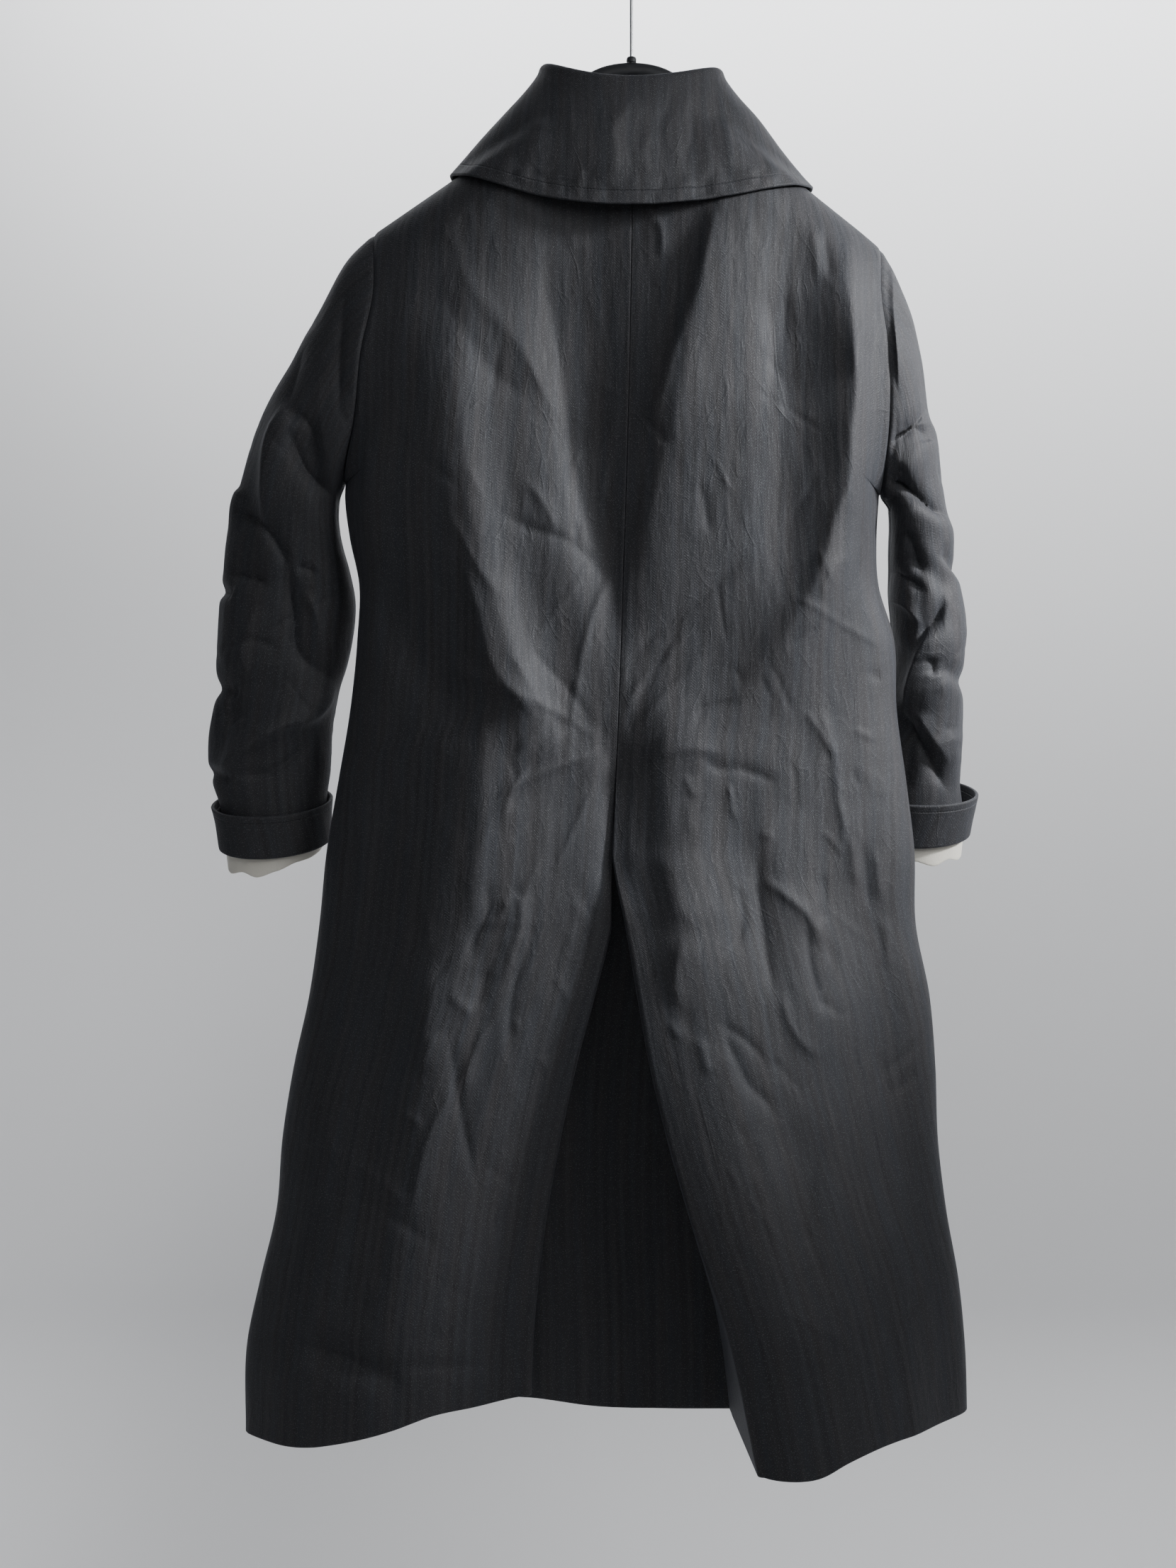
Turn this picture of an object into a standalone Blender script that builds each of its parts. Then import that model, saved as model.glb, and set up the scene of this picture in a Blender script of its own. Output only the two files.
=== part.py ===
"""A long coat of dark slubbed cloth, hanging on a plastic hanger with a steel wire hook.

Sizes are in metres. The inner top of the hook is the origin and +Z is up. The back of the coat
faces -Y, its front faces +Y, and +X is the wearer's right. Every piece of cloth is a sheet with a
wall on its inner side, and neighbouring pieces are a seam gap apart.
"""

import math
from collections import namedtuple

import bmesh
import bpy
import numpy as np

NAME = "Coat on hanger"

# Walls and gaps
CLOTH = 0.002
COLLAR_CLOTH = 0.003
CUFF_CLOTH = 0.003
LINING_CLOTH = 0.0012
SEAM_GAP = 0.0003
HALF_GAP = SEAM_GAP / 2

# The two sides of the coat, as the sign of x
LEFT = -1
RIGHT = 1
SIDE_NAMES = {LEFT: "left", RIGHT: "right"}

# Neck and shoulders
NECK_X = 0.080
NECK_Y = 0.045
NECK_POINT_Z = {LEFT: -0.178, RIGHT: -0.180}
FRONT_NECK_POWER = 1.4
NECK_CENTRE_Z = {"back": -0.200, "front": -0.262}
TIP_X = {LEFT: -0.2170, RIGHT: 0.2110}
TIP_Z = {LEFT: -0.2705, RIGHT: -0.2830}
SHOULDER_ROLL = 0.070
ARMHOLE_HALF = 0.045
UNDERARM = 0.212
SIDE_POWER = 2.2
UNDERARM_FULLNESS = 1.2
ARMHOLE_FADE_ACROSS = 0.24
ARMHOLE_FADE_DOWN = 1.3
LEVEL_HEM_Z = -1.262
HEM_DIPS_FROM = 0.5

# Front lap
LAP = 0.022
LAP_EASE = 0.040
LAP_GAP = 0.0012
LAP_DEPTH = 0.010

# Back pleat
APEX_Z = -0.800
PLEAT_OPENS_Z = -0.760
PUSH_STARTS_Z = -0.700
SEAM_ALLOWANCE = 0.006
SEAM_RADIUS = 0.0025
FOLD_RADIUS = 0.005
UNDERLAY_WING = 0.010
ROOT_GAP = 0.0010
ROOT_LEVELS_OVER = 0.15
UNDERLAY_HOLLOW = 0.006
UNDERLAY_HOLLOW_RUN = 0.15
LEFT_PUSH_WIDTH = 0.060
RIGHT_PUSH_WIDTH = 0.105

# The body at each height: its two side edges, the centre-back seam, and how far the back and the
# front stand off the hanging line
Body = namedtuple("Body", "z left right seam back front")
BODY = (
    Body(-0.270, -0.2170, 0.2110, -0.0005, 0.060, 0.056),
    Body(-0.325, -0.2145, 0.2070, -0.0014, 0.064, 0.062),
    Body(-0.375, -0.2240, 0.2120, -0.0023, 0.066, 0.066),
    Body(-0.430, -0.2300, 0.2130, -0.0036, 0.067, 0.068),
    Body(-0.487, -0.2415, 0.2090, -0.0052, 0.066, 0.068),
    Body(-0.525, -0.2375, 0.2065, -0.0063, 0.064, 0.066),
    Body(-0.565, -0.2295, 0.2080, -0.0076, 0.062, 0.064),
    Body(-0.610, -0.2310, 0.2210, -0.0091, 0.059, 0.062),
    Body(-0.670, -0.2370, 0.2235, -0.0114, 0.057, 0.061),
    Body(-0.730, -0.2470, 0.2315, -0.0138, 0.057, 0.063),
    Body(-0.790, -0.2570, 0.2385, -0.0163, 0.058, 0.065),
    Body(-0.850, -0.2630, 0.2395, -0.0170, 0.059, 0.067),
    Body(-0.910, -0.2715, 0.2510, -0.0170, 0.061, 0.069),
    Body(-0.970, -0.2845, 0.2560, -0.0170, 0.062, 0.071),
    Body(-1.030, -0.2940, 0.2580, -0.0170, 0.062, 0.073),
    Body(-1.090, -0.2990, 0.2650, -0.0170, 0.061, 0.074),
    Body(-1.150, -0.3130, 0.2755, -0.0170, 0.059, 0.076),
    Body(-1.200, -0.3235, 0.2805, -0.0170, 0.057, 0.077),
    Body(-1.280, -0.3250, 0.2830, -0.0170, 0.055, 0.078),
)

# The pleat at each height: where the two panels fold back, how far the folds are pushed out, where
# their returns end, and how deep the underlay lies behind the hanging line's front
Pleat = namedtuple("Pleat", "z left_fold right_fold left_push right_push left_root right_root underlay")
PLEAT = (
    Pleat(-0.700, 0.0000, -0.0300, -0.004, -0.003, -0.0165, -0.0162, 0.047),
    Pleat(-0.800, -0.0120, -0.0150, -0.003, 0.004, -0.0165, -0.0160, 0.046),
    Pleat(-0.850, -0.0170, -0.0060, -0.003, 0.014, -0.0230, -0.0060, 0.041),
    Pleat(-0.900, -0.0290, 0.0025, -0.004, 0.024, -0.0400, 0.0025, 0.034),
    Pleat(-0.960, -0.0450, 0.0130, -0.007, 0.033, -0.0620, 0.0130, 0.027),
    Pleat(-1.030, -0.0600, 0.0305, -0.012, 0.042, -0.0840, 0.0290, 0.021),
    Pleat(-1.100, -0.0720, 0.0510, -0.016, 0.050, -0.1020, 0.0490, 0.016),
    Pleat(-1.170, -0.0800, 0.0735, -0.018, 0.058, -0.1160, 0.0690, 0.013),
    Pleat(-1.285, -0.0850, 0.0985, -0.020, 0.068, -0.1280, 0.0850, 0.010),
)

# Hems, read along x
Hem = namedtuple("Hem", "x z")
BACK_HEM = (
    Hem(-0.325, -1.2770), Hem(-0.270, -1.2795), Hem(-0.233, -1.2725), Hem(-0.198, -1.2626),
    Hem(-0.164, -1.2508), Hem(-0.130, -1.2458), Hem(-0.084, -1.2390), Hem(-0.078, -1.2390),
    Hem(0.080, -1.2790), Hem(0.100, -1.2855), Hem(0.120, -1.2868), Hem(0.144, -1.2842),
    Hem(0.170, -1.2745), Hem(0.200, -1.2672), Hem(0.236, -1.2633), Hem(0.283, -1.2585),
)
FRONT_HEM = (
    Hem(-0.325, -1.2770), Hem(-0.260, -1.2720), Hem(-0.160, -1.2620), Hem(-0.040, -1.2580),
    Hem(0.080, -1.2570), Hem(0.180, -1.2600), Hem(0.283, -1.2590),
)
UNDERLAY_HEM = (
    Hem(-0.140, -1.2450), Hem(-0.084, -1.2485), Hem(-0.030, -1.2560), Hem(0.030, -1.2575),
    Hem(0.095, -1.2565),
)

# How far a fold runs past its ends, and how softly it ends, as shares of its length
FOLD_RUN_OUT = 0.12
FOLD_SOFT_END = 0.3

# The largest folds of the body: a straight run from start to end in the plane of the photograph,
# bent sideways at its middle, with a half width each side, and raised (or sunk) by a height
Fold = namedtuple("Fold", "x z end_x end_z bend left_width right_width narrow height")
BACK_FOLDS = (
    Fold(-0.150, -0.330, -0.072, -0.700, -0.022, 0.060, 0.030, 0.60, 0.014),
    Fold(-0.108, -0.660, -0.225, -1.620, 0.020, 0.060, 0.055, 1.60, 0.021),
    Fold(-0.030, -0.215, -0.013, -0.610, -0.006, 0.070, 0.050, 0.30, -0.015),
    Fold(0.076, -0.230, 0.004, -0.560, 0.004, 0.012, 0.050, 0.80, 0.013),
    Fold(0.110, -0.290, 0.113, -0.530, 0.004, 0.022, 0.030, 0.80, -0.007),
    Fold(0.176, -0.270, 0.164, -0.600, 0.012, 0.022, 0.026, 1.00, 0.009),
    Fold(0.170, -0.540, 0.070, -0.690, 0.012, 0.022, 0.030, 0.80, 0.008),
    Fold(-0.195, -0.330, -0.070, -0.460, 0.010, 0.014, 0.020, 1.00, -0.006),
    Fold(-0.215, -0.560, -0.130, -0.690, -0.006, 0.022, 0.026, 1.00, -0.007),
    Fold(-0.110, -0.500, -0.030, -0.590, 0.000, 0.012, 0.016, 1.00, -0.005),
    Fold(-0.085, -0.655, -0.010, -0.690, 0.000, 0.018, 0.018, 1.00, -0.007),
    Fold(0.010, -0.655, 0.100, -0.590, 0.000, 0.014, 0.018, 1.00, -0.005),
    Fold(-0.065, -0.690, -0.115, -0.800, 0.000, 0.014, 0.018, 1.20, 0.005),
    Fold(0.020, -0.690, 0.150, -0.735, 0.000, 0.020, 0.020, 1.20, 0.006),
    Fold(0.105, -0.740, 0.150, -0.960, 0.008, 0.020, 0.024, 1.20, 0.006),
    Fold(0.180, -0.800, 0.205, -1.100, 0.010, 0.024, 0.030, 1.20, -0.006),
    Fold(0.125, -1.000, 0.140, -1.160, 0.004, 0.020, 0.022, 1.00, -0.005),
    Fold(-0.120, -0.850, -0.165, -1.080, 0.010, 0.018, 0.020, 1.00, -0.005),
    Fold(-0.200, -0.900, -0.250, -1.250, 0.010, 0.030, 0.026, 1.20, -0.007),
    Fold(-0.290, -1.190, -0.190, -1.225, 0.004, 0.014, 0.014, 1.00, -0.004),
)
FRONT_FOLDS = (
    Fold(-0.150, -0.330, -0.110, -0.760, 0.014, 0.050, 0.040, 0.80, 0.009),
    Fold(-0.105, -0.720, -0.190, -1.600, 0.015, 0.050, 0.045, 1.50, 0.014),
    Fold(-0.200, -0.820, -0.262, -1.450, 0.010, 0.026, 0.030, 1.30, -0.008),
    Fold(-0.070, -0.860, -0.105, -1.500, 0.006, 0.024, 0.028, 1.30, -0.008),
    Fold(-0.190, -0.340, -0.090, -0.480, 0.010, 0.014, 0.020, 1.00, -0.005),
    Fold(-0.185, -0.560, -0.095, -0.690, 0.008, 0.020, 0.024, 1.00, -0.006),
    Fold(0.140, -0.320, 0.105, -0.740, -0.012, 0.038, 0.048, 0.80, 0.009),
    Fold(0.100, -0.700, 0.165, -1.600, -0.012, 0.045, 0.050, 1.50, 0.015),
    Fold(0.170, -0.800, 0.228, -1.450, -0.008, 0.028, 0.026, 1.30, -0.008),
    Fold(0.062, -0.900, 0.092, -1.500, 0.004, 0.024, 0.024, 1.30, -0.007),
    Fold(0.185, -0.350, 0.080, -0.500, -0.008, 0.020, 0.014, 1.00, -0.005),
    Fold(0.175, -0.570, 0.085, -0.680, -0.006, 0.022, 0.020, 1.00, -0.006),
)

# Sleeves: outer and inner edge of each section in the plane of the photograph, half its depth, how
# far it hangs forward, and how much its back is lower than its middle
Section = namedtuple("Section", "along outer_x outer_z inner_x inner_z half_depth forward tilt")
SLEEVES = {
    LEFT: (
        Section(0.00, -0.2170, -0.2705, -0.2415, -0.4865, 0.045, 0.000, 0.000),
        Section(0.06, -0.2380, -0.2900, -0.2465, -0.4980, 0.046, 0.003, 0.000),
        Section(0.15, -0.2640, -0.3340, -0.2480, -0.5090, 0.045, 0.008, 0.000),
        Section(0.24, -0.2900, -0.3790, -0.2470, -0.5200, 0.043, 0.013, 0.000),
        Section(0.34, -0.3180, -0.4320, -0.2440, -0.5350, 0.040, 0.019, 0.001),
        Section(0.42, -0.3320, -0.4740, -0.2390, -0.5540, 0.037, 0.024, 0.002),
        Section(0.50, -0.3445, -0.5160, -0.2350, -0.5780, 0.035, 0.029, 0.003),
        Section(0.58, -0.3500, -0.5640, -0.2370, -0.6040, 0.032, 0.034, 0.004),
        Section(0.66, -0.3535, -0.6100, -0.2430, -0.6320, 0.030, 0.038, 0.006),
        Section(0.74, -0.3570, -0.6550, -0.2530, -0.6620, 0.029, 0.042, 0.008),
        Section(0.81, -0.3635, -0.6930, -0.2565, -0.6900, 0.028, 0.045, 0.010),
        Section(0.88, -0.3610, -0.7280, -0.2580, -0.7220, 0.027, 0.047, 0.012),
        Section(0.92, -0.3540, -0.7490, -0.2610, -0.7430, 0.026, 0.048, 0.013),
        Section(1.00, -0.3515, -0.7870, -0.2610, -0.7800, 0.026, 0.048, 0.013),
    ),
    RIGHT: (
        Section(0.00, 0.2110, -0.2830, 0.2090, -0.4900, 0.045, 0.000, 0.000),
        Section(0.06, 0.2205, -0.3000, 0.2165, -0.4990, 0.046, 0.004, 0.000),
        Section(0.15, 0.2345, -0.3330, 0.2190, -0.5070, 0.047, 0.010, 0.000),
        Section(0.24, 0.2455, -0.3720, 0.2200, -0.5180, 0.047, 0.016, 0.001),
        Section(0.34, 0.2535, -0.4230, 0.2200, -0.5330, 0.047, 0.023, 0.002),
        Section(0.42, 0.2640, -0.4650, 0.2200, -0.5510, 0.046, 0.028, 0.003),
        Section(0.50, 0.2710, -0.5070, 0.2205, -0.5720, 0.045, 0.033, 0.004),
        Section(0.58, 0.2800, -0.5510, 0.2230, -0.5960, 0.044, 0.037, 0.005),
        Section(0.66, 0.2880, -0.5930, 0.2245, -0.6180, 0.043, 0.041, 0.007),
        Section(0.74, 0.2860, -0.6380, 0.2205, -0.6480, 0.042, 0.046, 0.010),
        Section(0.81, 0.2870, -0.6790, 0.2140, -0.6800, 0.039, 0.054, 0.010),
        Section(0.88, 0.2840, -0.7160, 0.2080, -0.7160, 0.035, 0.063, 0.012),
        Section(0.92, 0.2875, -0.7380, 0.2060, -0.7360, 0.032, 0.067, 0.013),
        Section(1.00, 0.2930, -0.7750, 0.2050, -0.7760, 0.030, 0.070, 0.013),
    ),
}
ARMHOLE_FADE = 0.18
SLEEVE_FOLD_START = 0.12
SLEEVE_FOLD_END = 0.10

# The largest folds of the sleeves, placed as those of the body
SLEEVE_FOLDS = {
    LEFT: (
        Fold(-0.285, -0.395, -0.302, -0.560, -0.006, 0.016, 0.020, 1.00, 0.008),
        Fold(-0.345, -0.495, -0.245, -0.660, 0.014, 0.013, 0.016, 1.00, -0.009),
        Fold(-0.352, -0.545, -0.270, -0.585, -0.004, 0.012, 0.014, 1.00, 0.007),
        Fold(-0.352, -0.725, -0.250, -0.650, 0.010, 0.012, 0.016, 1.00, 0.008),
        Fold(-0.350, -0.680, -0.262, -0.610, 0.006, 0.013, 0.013, 1.00, -0.007),
        Fold(-0.275, -0.440, -0.250, -0.510, 0.000, 0.012, 0.012, 1.00, -0.006),
        Fold(-0.340, -0.445, -0.300, -0.470, 0.000, 0.012, 0.012, 1.00, 0.006),
    ),
    RIGHT: (
        Fold(0.268, -0.430, 0.222, -0.470, 0.004, 0.012, 0.014, 1.00, 0.007),
        Fold(0.225, -0.490, 0.275, -0.515, 0.004, 0.011, 0.012, 1.00, -0.008),
        Fold(0.222, -0.545, 0.270, -0.568, 0.004, 0.012, 0.012, 1.00, -0.008),
        Fold(0.287, -0.540, 0.240, -0.605, 0.006, 0.012, 0.013, 1.00, 0.008),
        Fold(0.255, -0.600, 0.222, -0.680, 0.004, 0.012, 0.012, 1.00, 0.007),
        Fold(0.245, -0.630, 0.284, -0.720, 0.006, 0.011, 0.013, 1.00, -0.007),
        Fold(0.225, -0.330, 0.240, -0.440, 0.000, 0.012, 0.014, 1.00, 0.005),
    ),
}

# Cuffs and the lining that shows below them
CUFF_START = 0.923
CUFF_STAND_OFF = {LEFT: 0.005, RIGHT: 0.012}
CUFF_INNER_SHARE = 0.3
LINING_START = 0.93
LINING_BELOW_OUTER = 0.019
LINING_BELOW_INNER = 0.006
LINING_TAPER = 0.002

# Collar: one row for each loop round the neck, from the neck seam up the stand, over the fold and
# down the fall
Loop = namedtuple("Loop", "half_x back_y front_y z_back z_left z_right z_front")
COLLAR = (
    Loop(0.0767, 0.0417, 0.0417, -0.1990, -0.1768, -0.1788, -0.2605),
    Loop(0.0718, 0.0405, 0.0405, -0.1760, -0.1550, -0.1575, -0.2360),
    Loop(0.0672, 0.0395, 0.0395, -0.1560, -0.1345, -0.1380, -0.2100),
    Loop(0.0690, 0.0415, 0.0415, -0.1508, -0.1293, -0.1330, -0.2045),
    Loop(0.0730, 0.0455, 0.0455, -0.1488, -0.1275, -0.1312, -0.2020),
    Loop(0.0770, 0.0497, 0.0497, -0.1508, -0.1300, -0.1335, -0.2045),
    Loop(0.0805, 0.0530, 0.0530, -0.1600, -0.1380, -0.1415, -0.2120),
    Loop(0.0910, 0.0590, 0.0600, -0.1830, -0.1515, -0.1555, -0.2320),
    Loop(0.1080, 0.0650, 0.0660, -0.2080, -0.1700, -0.1745, -0.2540),
    Loop(0.1260, 0.0690, 0.0705, -0.2310, -0.1895, -0.1990, -0.2760),
    Loop(0.1420, 0.0715, 0.0735, -0.2490, -0.2080, -0.2190, -0.2960),
    Loop(0.1535, 0.0730, 0.0750, -0.2610, -0.2210, -0.2315, -0.3120),
)
COLLAR_END = math.radians(171)
COLLAR_FOLD_ROW = 5
COLLAR_LIFT = 0.0055
COLLAR_POWER = 2.0
COLLAR_SEAM_GAP = 0.0008

# Hanger and hook
ARCH_TOP_Z = -0.125
ARCH_SQUARE = 5.2
ARCH_FOURTH = 1300.0
ARCH_REACH = 0.0690
HANGER_REACH = 0.190
HANGER_UNDER_CLOTH = 0.0034
HANGER_DIP = 0.0042
HANGER_DIP_WIDTH = 0.010
HANGER_HEIGHT = 0.014
SLOPE_STEP = 0.001
STEEPEST = 1.7
HANGER_NECK_HALF = 0.0060
HANGER_END_HALF = 0.0095
WIRE_RADIUS = 0.0015
HOOK_RADIUS = 0.0190
HOOK_START = math.radians(-52)
HOOK_END = math.radians(212)
SHAFT_TOP_Z = -0.064
HOOK_PULL = 0.016
BORE_DEPTH = 0.010
BORE_RADIUS = 0.0018
FERRULE_RADIUS = 0.0042
FERRULE_HEIGHT = 0.0045

# Buttons of the front
BUTTON_HEIGHTS = (-0.370, -0.500, -0.630, -0.760)
BUTTON_RADIUS = 0.0125
BUTTON_THICKNESS = 0.0036
BUTTON_RIM = 0.0008
BUTTON_GAP = 0.0002

# Colour, roughness and metallic value of each finish
Finish = namedtuple("Finish", "colour roughness metallic")
DARK_CLOTH = Finish((0.026, 0.028, 0.035, 1.0), 0.85, 0.0)
PALE_LINING = Finish((0.74, 0.70, 0.60, 1.0), 0.60, 0.0)
BLACK_PLASTIC = Finish((0.018, 0.019, 0.021, 1.0), 0.45, 0.0)
HORN = Finish((0.020, 0.018, 0.017, 1.0), 0.35, 0.0)
STEEL = Finish((0.62, 0.63, 0.65, 1.0), 0.28, 1.0)

# How finely the sheets are divided
ARMHOLE_STEPS = 10
BODY_ROWS = 17
SLEEVE_ROWS = 15
COLLAR_STEPS = 28
UNDERLAY_COLUMNS = 10
UNDERLAY_ROWS = 10
HANGER_SIDES = 10

# Axes by number
X_AXIS = 0
Y_AXIS = 1
Z_AXIS = 2


def ease(value):
    """A soft step from 0 to 1."""
    value = np.clip(value, 0.0, 1.0)
    return value * value * (3 - 2 * value)


def mix(first, second, share):
    return first + (second - first) * share


def read(table, name, at):
    """A smooth curve through one column of a table, read at the values of its first column."""
    keys = np.array([row[0] for row in table])
    values = np.array([getattr(row, name) for row in table])
    if keys[0] > keys[-1]:
        keys = keys[::-1]
        values = values[::-1]
    slopes = np.gradient(values, keys)
    at = np.clip(at, keys[0], keys[-1])
    spot = np.clip(np.searchsorted(keys, at) - 1, 0, len(keys) - 2)
    step = keys[spot + 1] - keys[spot]
    share = (at - keys[spot]) / step
    square = share * share
    cube = square * share
    return (
        values[spot] * (2 * cube - 3 * square + 1)
        + values[spot + 1] * (3 * square - 2 * cube)
        + slopes[spot] * step * (cube - 2 * square + share)
        + slopes[spot + 1] * step * (cube - square)
    )


def raised(folds, x, z):
    """How far the folds raise the cloth at a place in the plane of the photograph."""
    height = np.zeros_like(x)
    for fold in folds:
        run_x = fold.end_x - fold.x
        run_z = fold.end_z - fold.z
        length = math.hypot(run_x, run_z)
        run_x /= length
        run_z /= length
        along = ((x - fold.x) * run_x + (z - fold.z) * run_z) / length
        inside = np.clip(along, 0.0, 1.0)
        off = (z - fold.z) * run_x - (x - fold.x) * run_z - fold.bend * 4 * inside * (1 - inside)
        width = np.where(off < 0, fold.left_width, fold.right_width) * mix(1.0, fold.narrow, inside)
        ends = ease((along + FOLD_RUN_OUT) / FOLD_SOFT_END) * ease((1 + FOLD_RUN_OUT - along) / FOLD_SOFT_END)
        height += fold.height * np.exp(-(off / width) ** 2) * ends
    return height


def side_x(side, z):
    return read(BODY, SIDE_NAMES[side], z)


def fold_x(side, z):
    """Where a back panel ends at the centre: on the seam, and below the apex on the pleat's fold."""
    seam = read(BODY, "seam", z)
    if side == LEFT:
        return np.minimum(seam - HALF_GAP, read(PLEAT, "left_fold", z))
    return np.maximum(seam + HALF_GAP, read(PLEAT, "right_fold", z))


def fold_radius(z):
    return mix(SEAM_RADIUS, FOLD_RADIUS, ease((APEX_Z - z) / 0.08))


def centre_x(side, face, z):
    """The edge of a panel's flat at the centre, before the pleat's fold or past the lap."""
    if face == "front":
        return np.full_like(z, -side * LAP)
    return fold_x(side, z) + side * fold_radius(z)


def neck_round(x):
    """1 at the middle of the neck and 0 at its sides, along an ellipse."""
    return np.sqrt(np.clip(1 - (x / NECK_X) ** 2, 0.0, 1.0))


def top_z(side, face, x):
    """Height of the shoulder and neck line."""
    reach = np.abs(x)
    bend = neck_round(x)
    neck = mix(NECK_POINT_Z[side], NECK_CENTRE_Z[face], bend ** (2.0 if face == "back" else FRONT_NECK_POWER))
    share = (reach - NECK_X) / (abs(TIP_X[side]) - NECK_X)
    shoulder = mix(NECK_POINT_Z[side], TIP_Z[side], np.clip(share, 0.0, 1.0))
    return np.where(reach < NECK_X, neck, shoulder)


def armhole_depth(down):
    """Half the depth of the armhole, an ellipse from the shoulder tip to the underarm."""
    return ARMHOLE_HALF * np.sqrt(np.clip(1 - (2 * down / UNDERARM - 1) ** 2, 0.0, 1.0))


def armhole_fullness(across, down):
    """The armhole's depth, carried softly into the panel and down past the underarm."""
    upper = armhole_depth(np.minimum(down, UNDERARM / 2))
    soft = upper * (1 - ease((down - UNDERARM / 2) / (UNDERARM * ARMHOLE_FADE_DOWN)))
    return mix(armhole_depth(down), soft, ease(across / ARMHOLE_FADE_ACROSS))


def panel_depth(side, face, across, down, x, z):
    """How far the cloth stands off the hanging line, at the back or at the front."""
    if face == "front":
        across = 1 - x / side_x(side, z)
    arm = armhole_fullness(across, down)
    roll = np.sqrt(1 - (1 - np.clip((top_z(side, face, x) - z) / SHOULDER_ROLL, 0.0, 1.0)) ** 2)
    below = UNDERARM_FULLNESS * ease((down - UNDERARM / 2) / (UNDERARM * 0.75))
    bow = (1 - (1 - np.clip(across, 0.0, 1.0)) ** SIDE_POWER) ** (1 / (1 + below))
    depth = arm * (1 - bow) + read(BODY, face, z) * roll * bow + NECK_Y * neck_round(x) * (1 - roll)
    folds = BACK_FOLDS if face == "back" else FRONT_FOLDS
    depth += raised(folds, x, z) * roll * ease(across / 0.16)
    if face == "back":
        name = SIDE_NAMES[side]
        width = LEFT_PUSH_WIDTH if side == LEFT else RIGHT_PUSH_WIDTH
        push = read(PLEAT, name + "_push", z) * ease((PUSH_STARTS_Z - z) / (PUSH_STARTS_Z - PLEAT_OPENS_Z))
        depth += push * np.exp(-((x - fold_x(side, z)) / width) ** 2)
    elif side == LEFT:
        under = ease((x + LAP + LAP_EASE) / LAP_EASE) * ease((depth - LAP_DEPTH) / LAP_DEPTH)
        depth -= (CLOTH + LAP_GAP) * under
    return depth


def down_rows():
    """Shares of a panel's height, matching the sleeve round the armhole and even below it."""
    angles = np.linspace(0.0, math.pi, ARMHOLE_STEPS + 1)
    armhole = UNDERARM * (1 - np.cos(angles)) / 2
    below = np.linspace(0.245, 1.0, BODY_ROWS)
    return np.concatenate([armhole, below])


def across_columns(side, face):
    """Shares of a panel's width, from the side to the centre, closer at the side and at the neck."""
    tip = abs(TIP_X[side])
    if face == "back":
        shares = np.array([1.0, 0.955, 0.87, 0.75, 0.61, 0.45, 0.29, 0.14])
        turns = np.array([90.0, 70.0, 52.0, 35.0, 18.0])
        middle = 0.001
        ends = [middle]
    else:
        shares = np.array([1.0, 0.945, 0.83, 0.66, 0.44, 0.21])
        turns = np.array([90.0, 66.0, 44.0])
        middle = -LAP
        ends = [LAP, 0.0, middle]
    shoulder = NECK_X + (tip - NECK_X) * shares
    neck = NECK_X * np.sin(np.radians(turns))
    reach = np.concatenate([shoulder, neck, ends])
    return (tip - reach) / (tip - middle)


def panel_grid(side, face, across, down):
    """Places of the panel's flat, for rows of shares down and columns of shares across."""
    across, down = np.meshgrid(across, down)
    start_x = mix(TIP_X[side], centre_x(side, face, np.full_like(down, TIP_Z[side])), across)
    hem_guess = np.full_like(down, LEVEL_HEM_Z)
    hem_x = mix(side_x(side, hem_guess), centre_x(side, face, hem_guess), across)
    top = top_z(side, face, start_x)
    hem = read(BACK_HEM if face == "back" else FRONT_HEM, "z", hem_x)
    z = mix(top, LEVEL_HEM_Z, down) + (hem - LEVEL_HEM_Z) * ease((down - HEM_DIPS_FROM) / (1 - HEM_DIPS_FROM))
    x = mix(side_x(side, z), centre_x(side, face, z), across)
    depth = panel_depth(side, face, across, down, x, z)
    sign = -1 if face == "back" else 1
    return np.stack([x, sign * (depth + HALF_GAP), z], axis=-1)


def underlay_y(x, z):
    """Front face of the pleat's underlay, hollow between the two returns."""
    start = read(PLEAT, "left_root", z)
    end = read(PLEAT, "right_root", z)
    half = (end - start) / 2 + UNDERLAY_WING
    share = np.clip((x - (start + end) / 2) / half, -1.0, 1.0)
    hollow = UNDERLAY_HOLLOW * (1 - share * share) * ease((APEX_Z - z) / UNDERLAY_HOLLOW_RUN)
    return -read(PLEAT, "underlay", z) + hollow


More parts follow.
